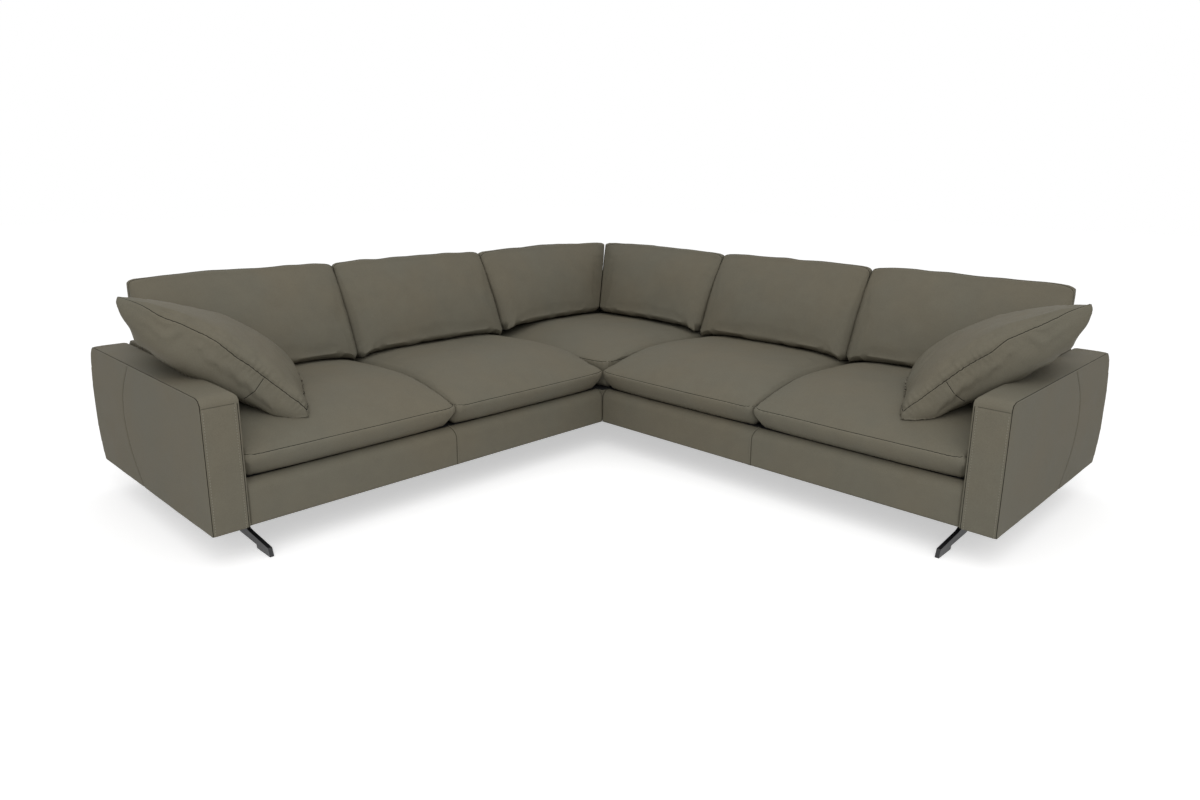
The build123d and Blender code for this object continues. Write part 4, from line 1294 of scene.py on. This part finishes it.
# Camera
right = Vector((math.cos(CAMERA_YAW), math.sin(CAMERA_YAW), 0))
ahead = Vector((-math.sin(CAMERA_YAW) * math.cos(CAMERA_PITCH),
                math.cos(CAMERA_YAW) * math.cos(CAMERA_PITCH), -math.sin(CAMERA_PITCH)))
above = right.cross(ahead)
turned = right * math.cos(CAMERA_ROLL) + above * math.sin(CAMERA_ROLL)
upward = above * math.cos(CAMERA_ROLL) - right * math.sin(CAMERA_ROLL)
camera = bpy.data.objects.new("camera", bpy.data.cameras.new("camera"))
SCENE.collection.objects.link(camera)
camera.matrix_world = Matrix.Translation(CAMERA_AT) @ Matrix((turned, upward, -ahead)).transposed().to_4x4()
camera.data.sensor_width = CAMERA_SENSOR
camera.data.lens = CAMERA_LENS
camera.data.shift_x, camera.data.shift_y = CAMERA_SHIFT
bpy.context.scene.camera = camera

for subpart in frame["record"]["subparts"]:
    node = NODES[subpart["node"]]
    dress(node, subpart["material_slot"])

# Worn, slightly rounded edges of the front feet
for side in SIDES:
    edge = NODES[side + "_front_leg"].modifiers.new("Edge", "BEVEL")
    edge.width = 0.0012
    edge.segments = 2
    edge.limit_method = "ANGLE"

# Stage
FLOOR_SIZE = 40.0
FLOOR_COLOUR = (0.80, 0.80, 0.80)
FLOOR_GLOW = 0.50
WHITE = (1, 1, 1, 1)
WORLD_LIGHT = 0.66
# Lamps: name, place, point aimed at, size and power
LAMPS = (
    ("overhead_softbox", (0.4, -0.4, 4.2), (0, 0, 0.4), 4.5, 25),
    ("front_softbox", (2.2, -2.2, 2.5), (-0.4, 0.4, 0.5), 3.0, 46),
)


def shader_node(tree, kind, *sources, **settings):
    """New node whose inputs, in their order, are linked or set; returns its output."""
    node = tree.nodes.new(kind)
    for key, value in settings.items():
        setattr(node, key, value)
    for socket, source in zip(node.inputs, sources):
        if isinstance(source, bpy.types.NodeSocket):
            tree.links.new(source, socket)
        else:
            socket.default_value = source
    return node.outputs[0]


def background_rays(tree):
    """1 for rays that show the background, also in gloss and glass."""
    path = tree.nodes.new("ShaderNodeLightPath").outputs
    direct = shader_node(tree, "ShaderNodeMath", path["Is Camera Ray"], path["Is Glossy Ray"],
                         operation="MAXIMUM")
    return shader_node(tree, "ShaderNodeMath", direct, path["Is Transmission Ray"], operation="MAXIMUM")


def studio_world():
    """Even white surroundings that light the object a little below their seen white."""
    world = bpy.data.worlds.new("studio")
    SCENE.world = world
    world.use_nodes = True
    tree = world.node_tree
    lit = tree.nodes["Background"]
    lit.inputs["Color"].default_value = WHITE
    lit.inputs["Strength"].default_value = WORLD_LIGHT
    seen = shader_node(tree, "ShaderNodeBackground", WHITE)
    mix = shader_node(tree, "ShaderNodeMixShader", background_rays(tree), lit.outputs[0], seen)
    tree.links.new(mix, tree.nodes["World Output"].inputs["Surface"])


def studio_floor():
    """Pale floor that melts into the white surroundings and keeps the shadow."""
    half = FLOOR_SIZE / 2
    corners = [(-half, -half, 0), (half, -half, 0), (half, half, 0), (-half, half, 0)]
    floor = mesh_object("studio_floor", corners, [(0, 1, 2, 3)])
    material = bpy.data.materials.new("pale_floor")
    material.use_nodes = True
    tree = material.node_tree
    tree.nodes.remove(tree.nodes["Principled BSDF"])
    paint = shader_node(tree, "ShaderNodeBsdfDiffuse", (*FLOOR_COLOUR, 1))
    strength = shader_node(tree, "ShaderNodeMath", background_rays(tree), FLOOR_GLOW, operation="MULTIPLY")
    glow = shader_node(tree, "ShaderNodeEmission", WHITE, strength)
    both = shader_node(tree, "ShaderNodeAddShader", paint, glow)
    tree.links.new(both, tree.nodes["Material Output"].inputs["Surface"])
    floor.data.materials.append(material)


def softbox(name, place, aim, size, power):
    """Large square lamp aimed at a point."""
    data = bpy.data.lights.new(name, "AREA")
    data.size = size
    data.energy = power
    lamp = bpy.data.objects.new(name, data)
    SCENE.collection.objects.link(lamp)
    lamp.location = place
    lamp.visible_camera = False
    lamp.rotation_euler = (Vector(aim) - Vector(place)).to_track_quat("-Z", "Y").to_euler()


studio_world()
studio_floor()
for lamp_row in LAMPS:
    softbox(*lamp_row)
bpy.context.scene.view_settings.view_transform = "Standard"
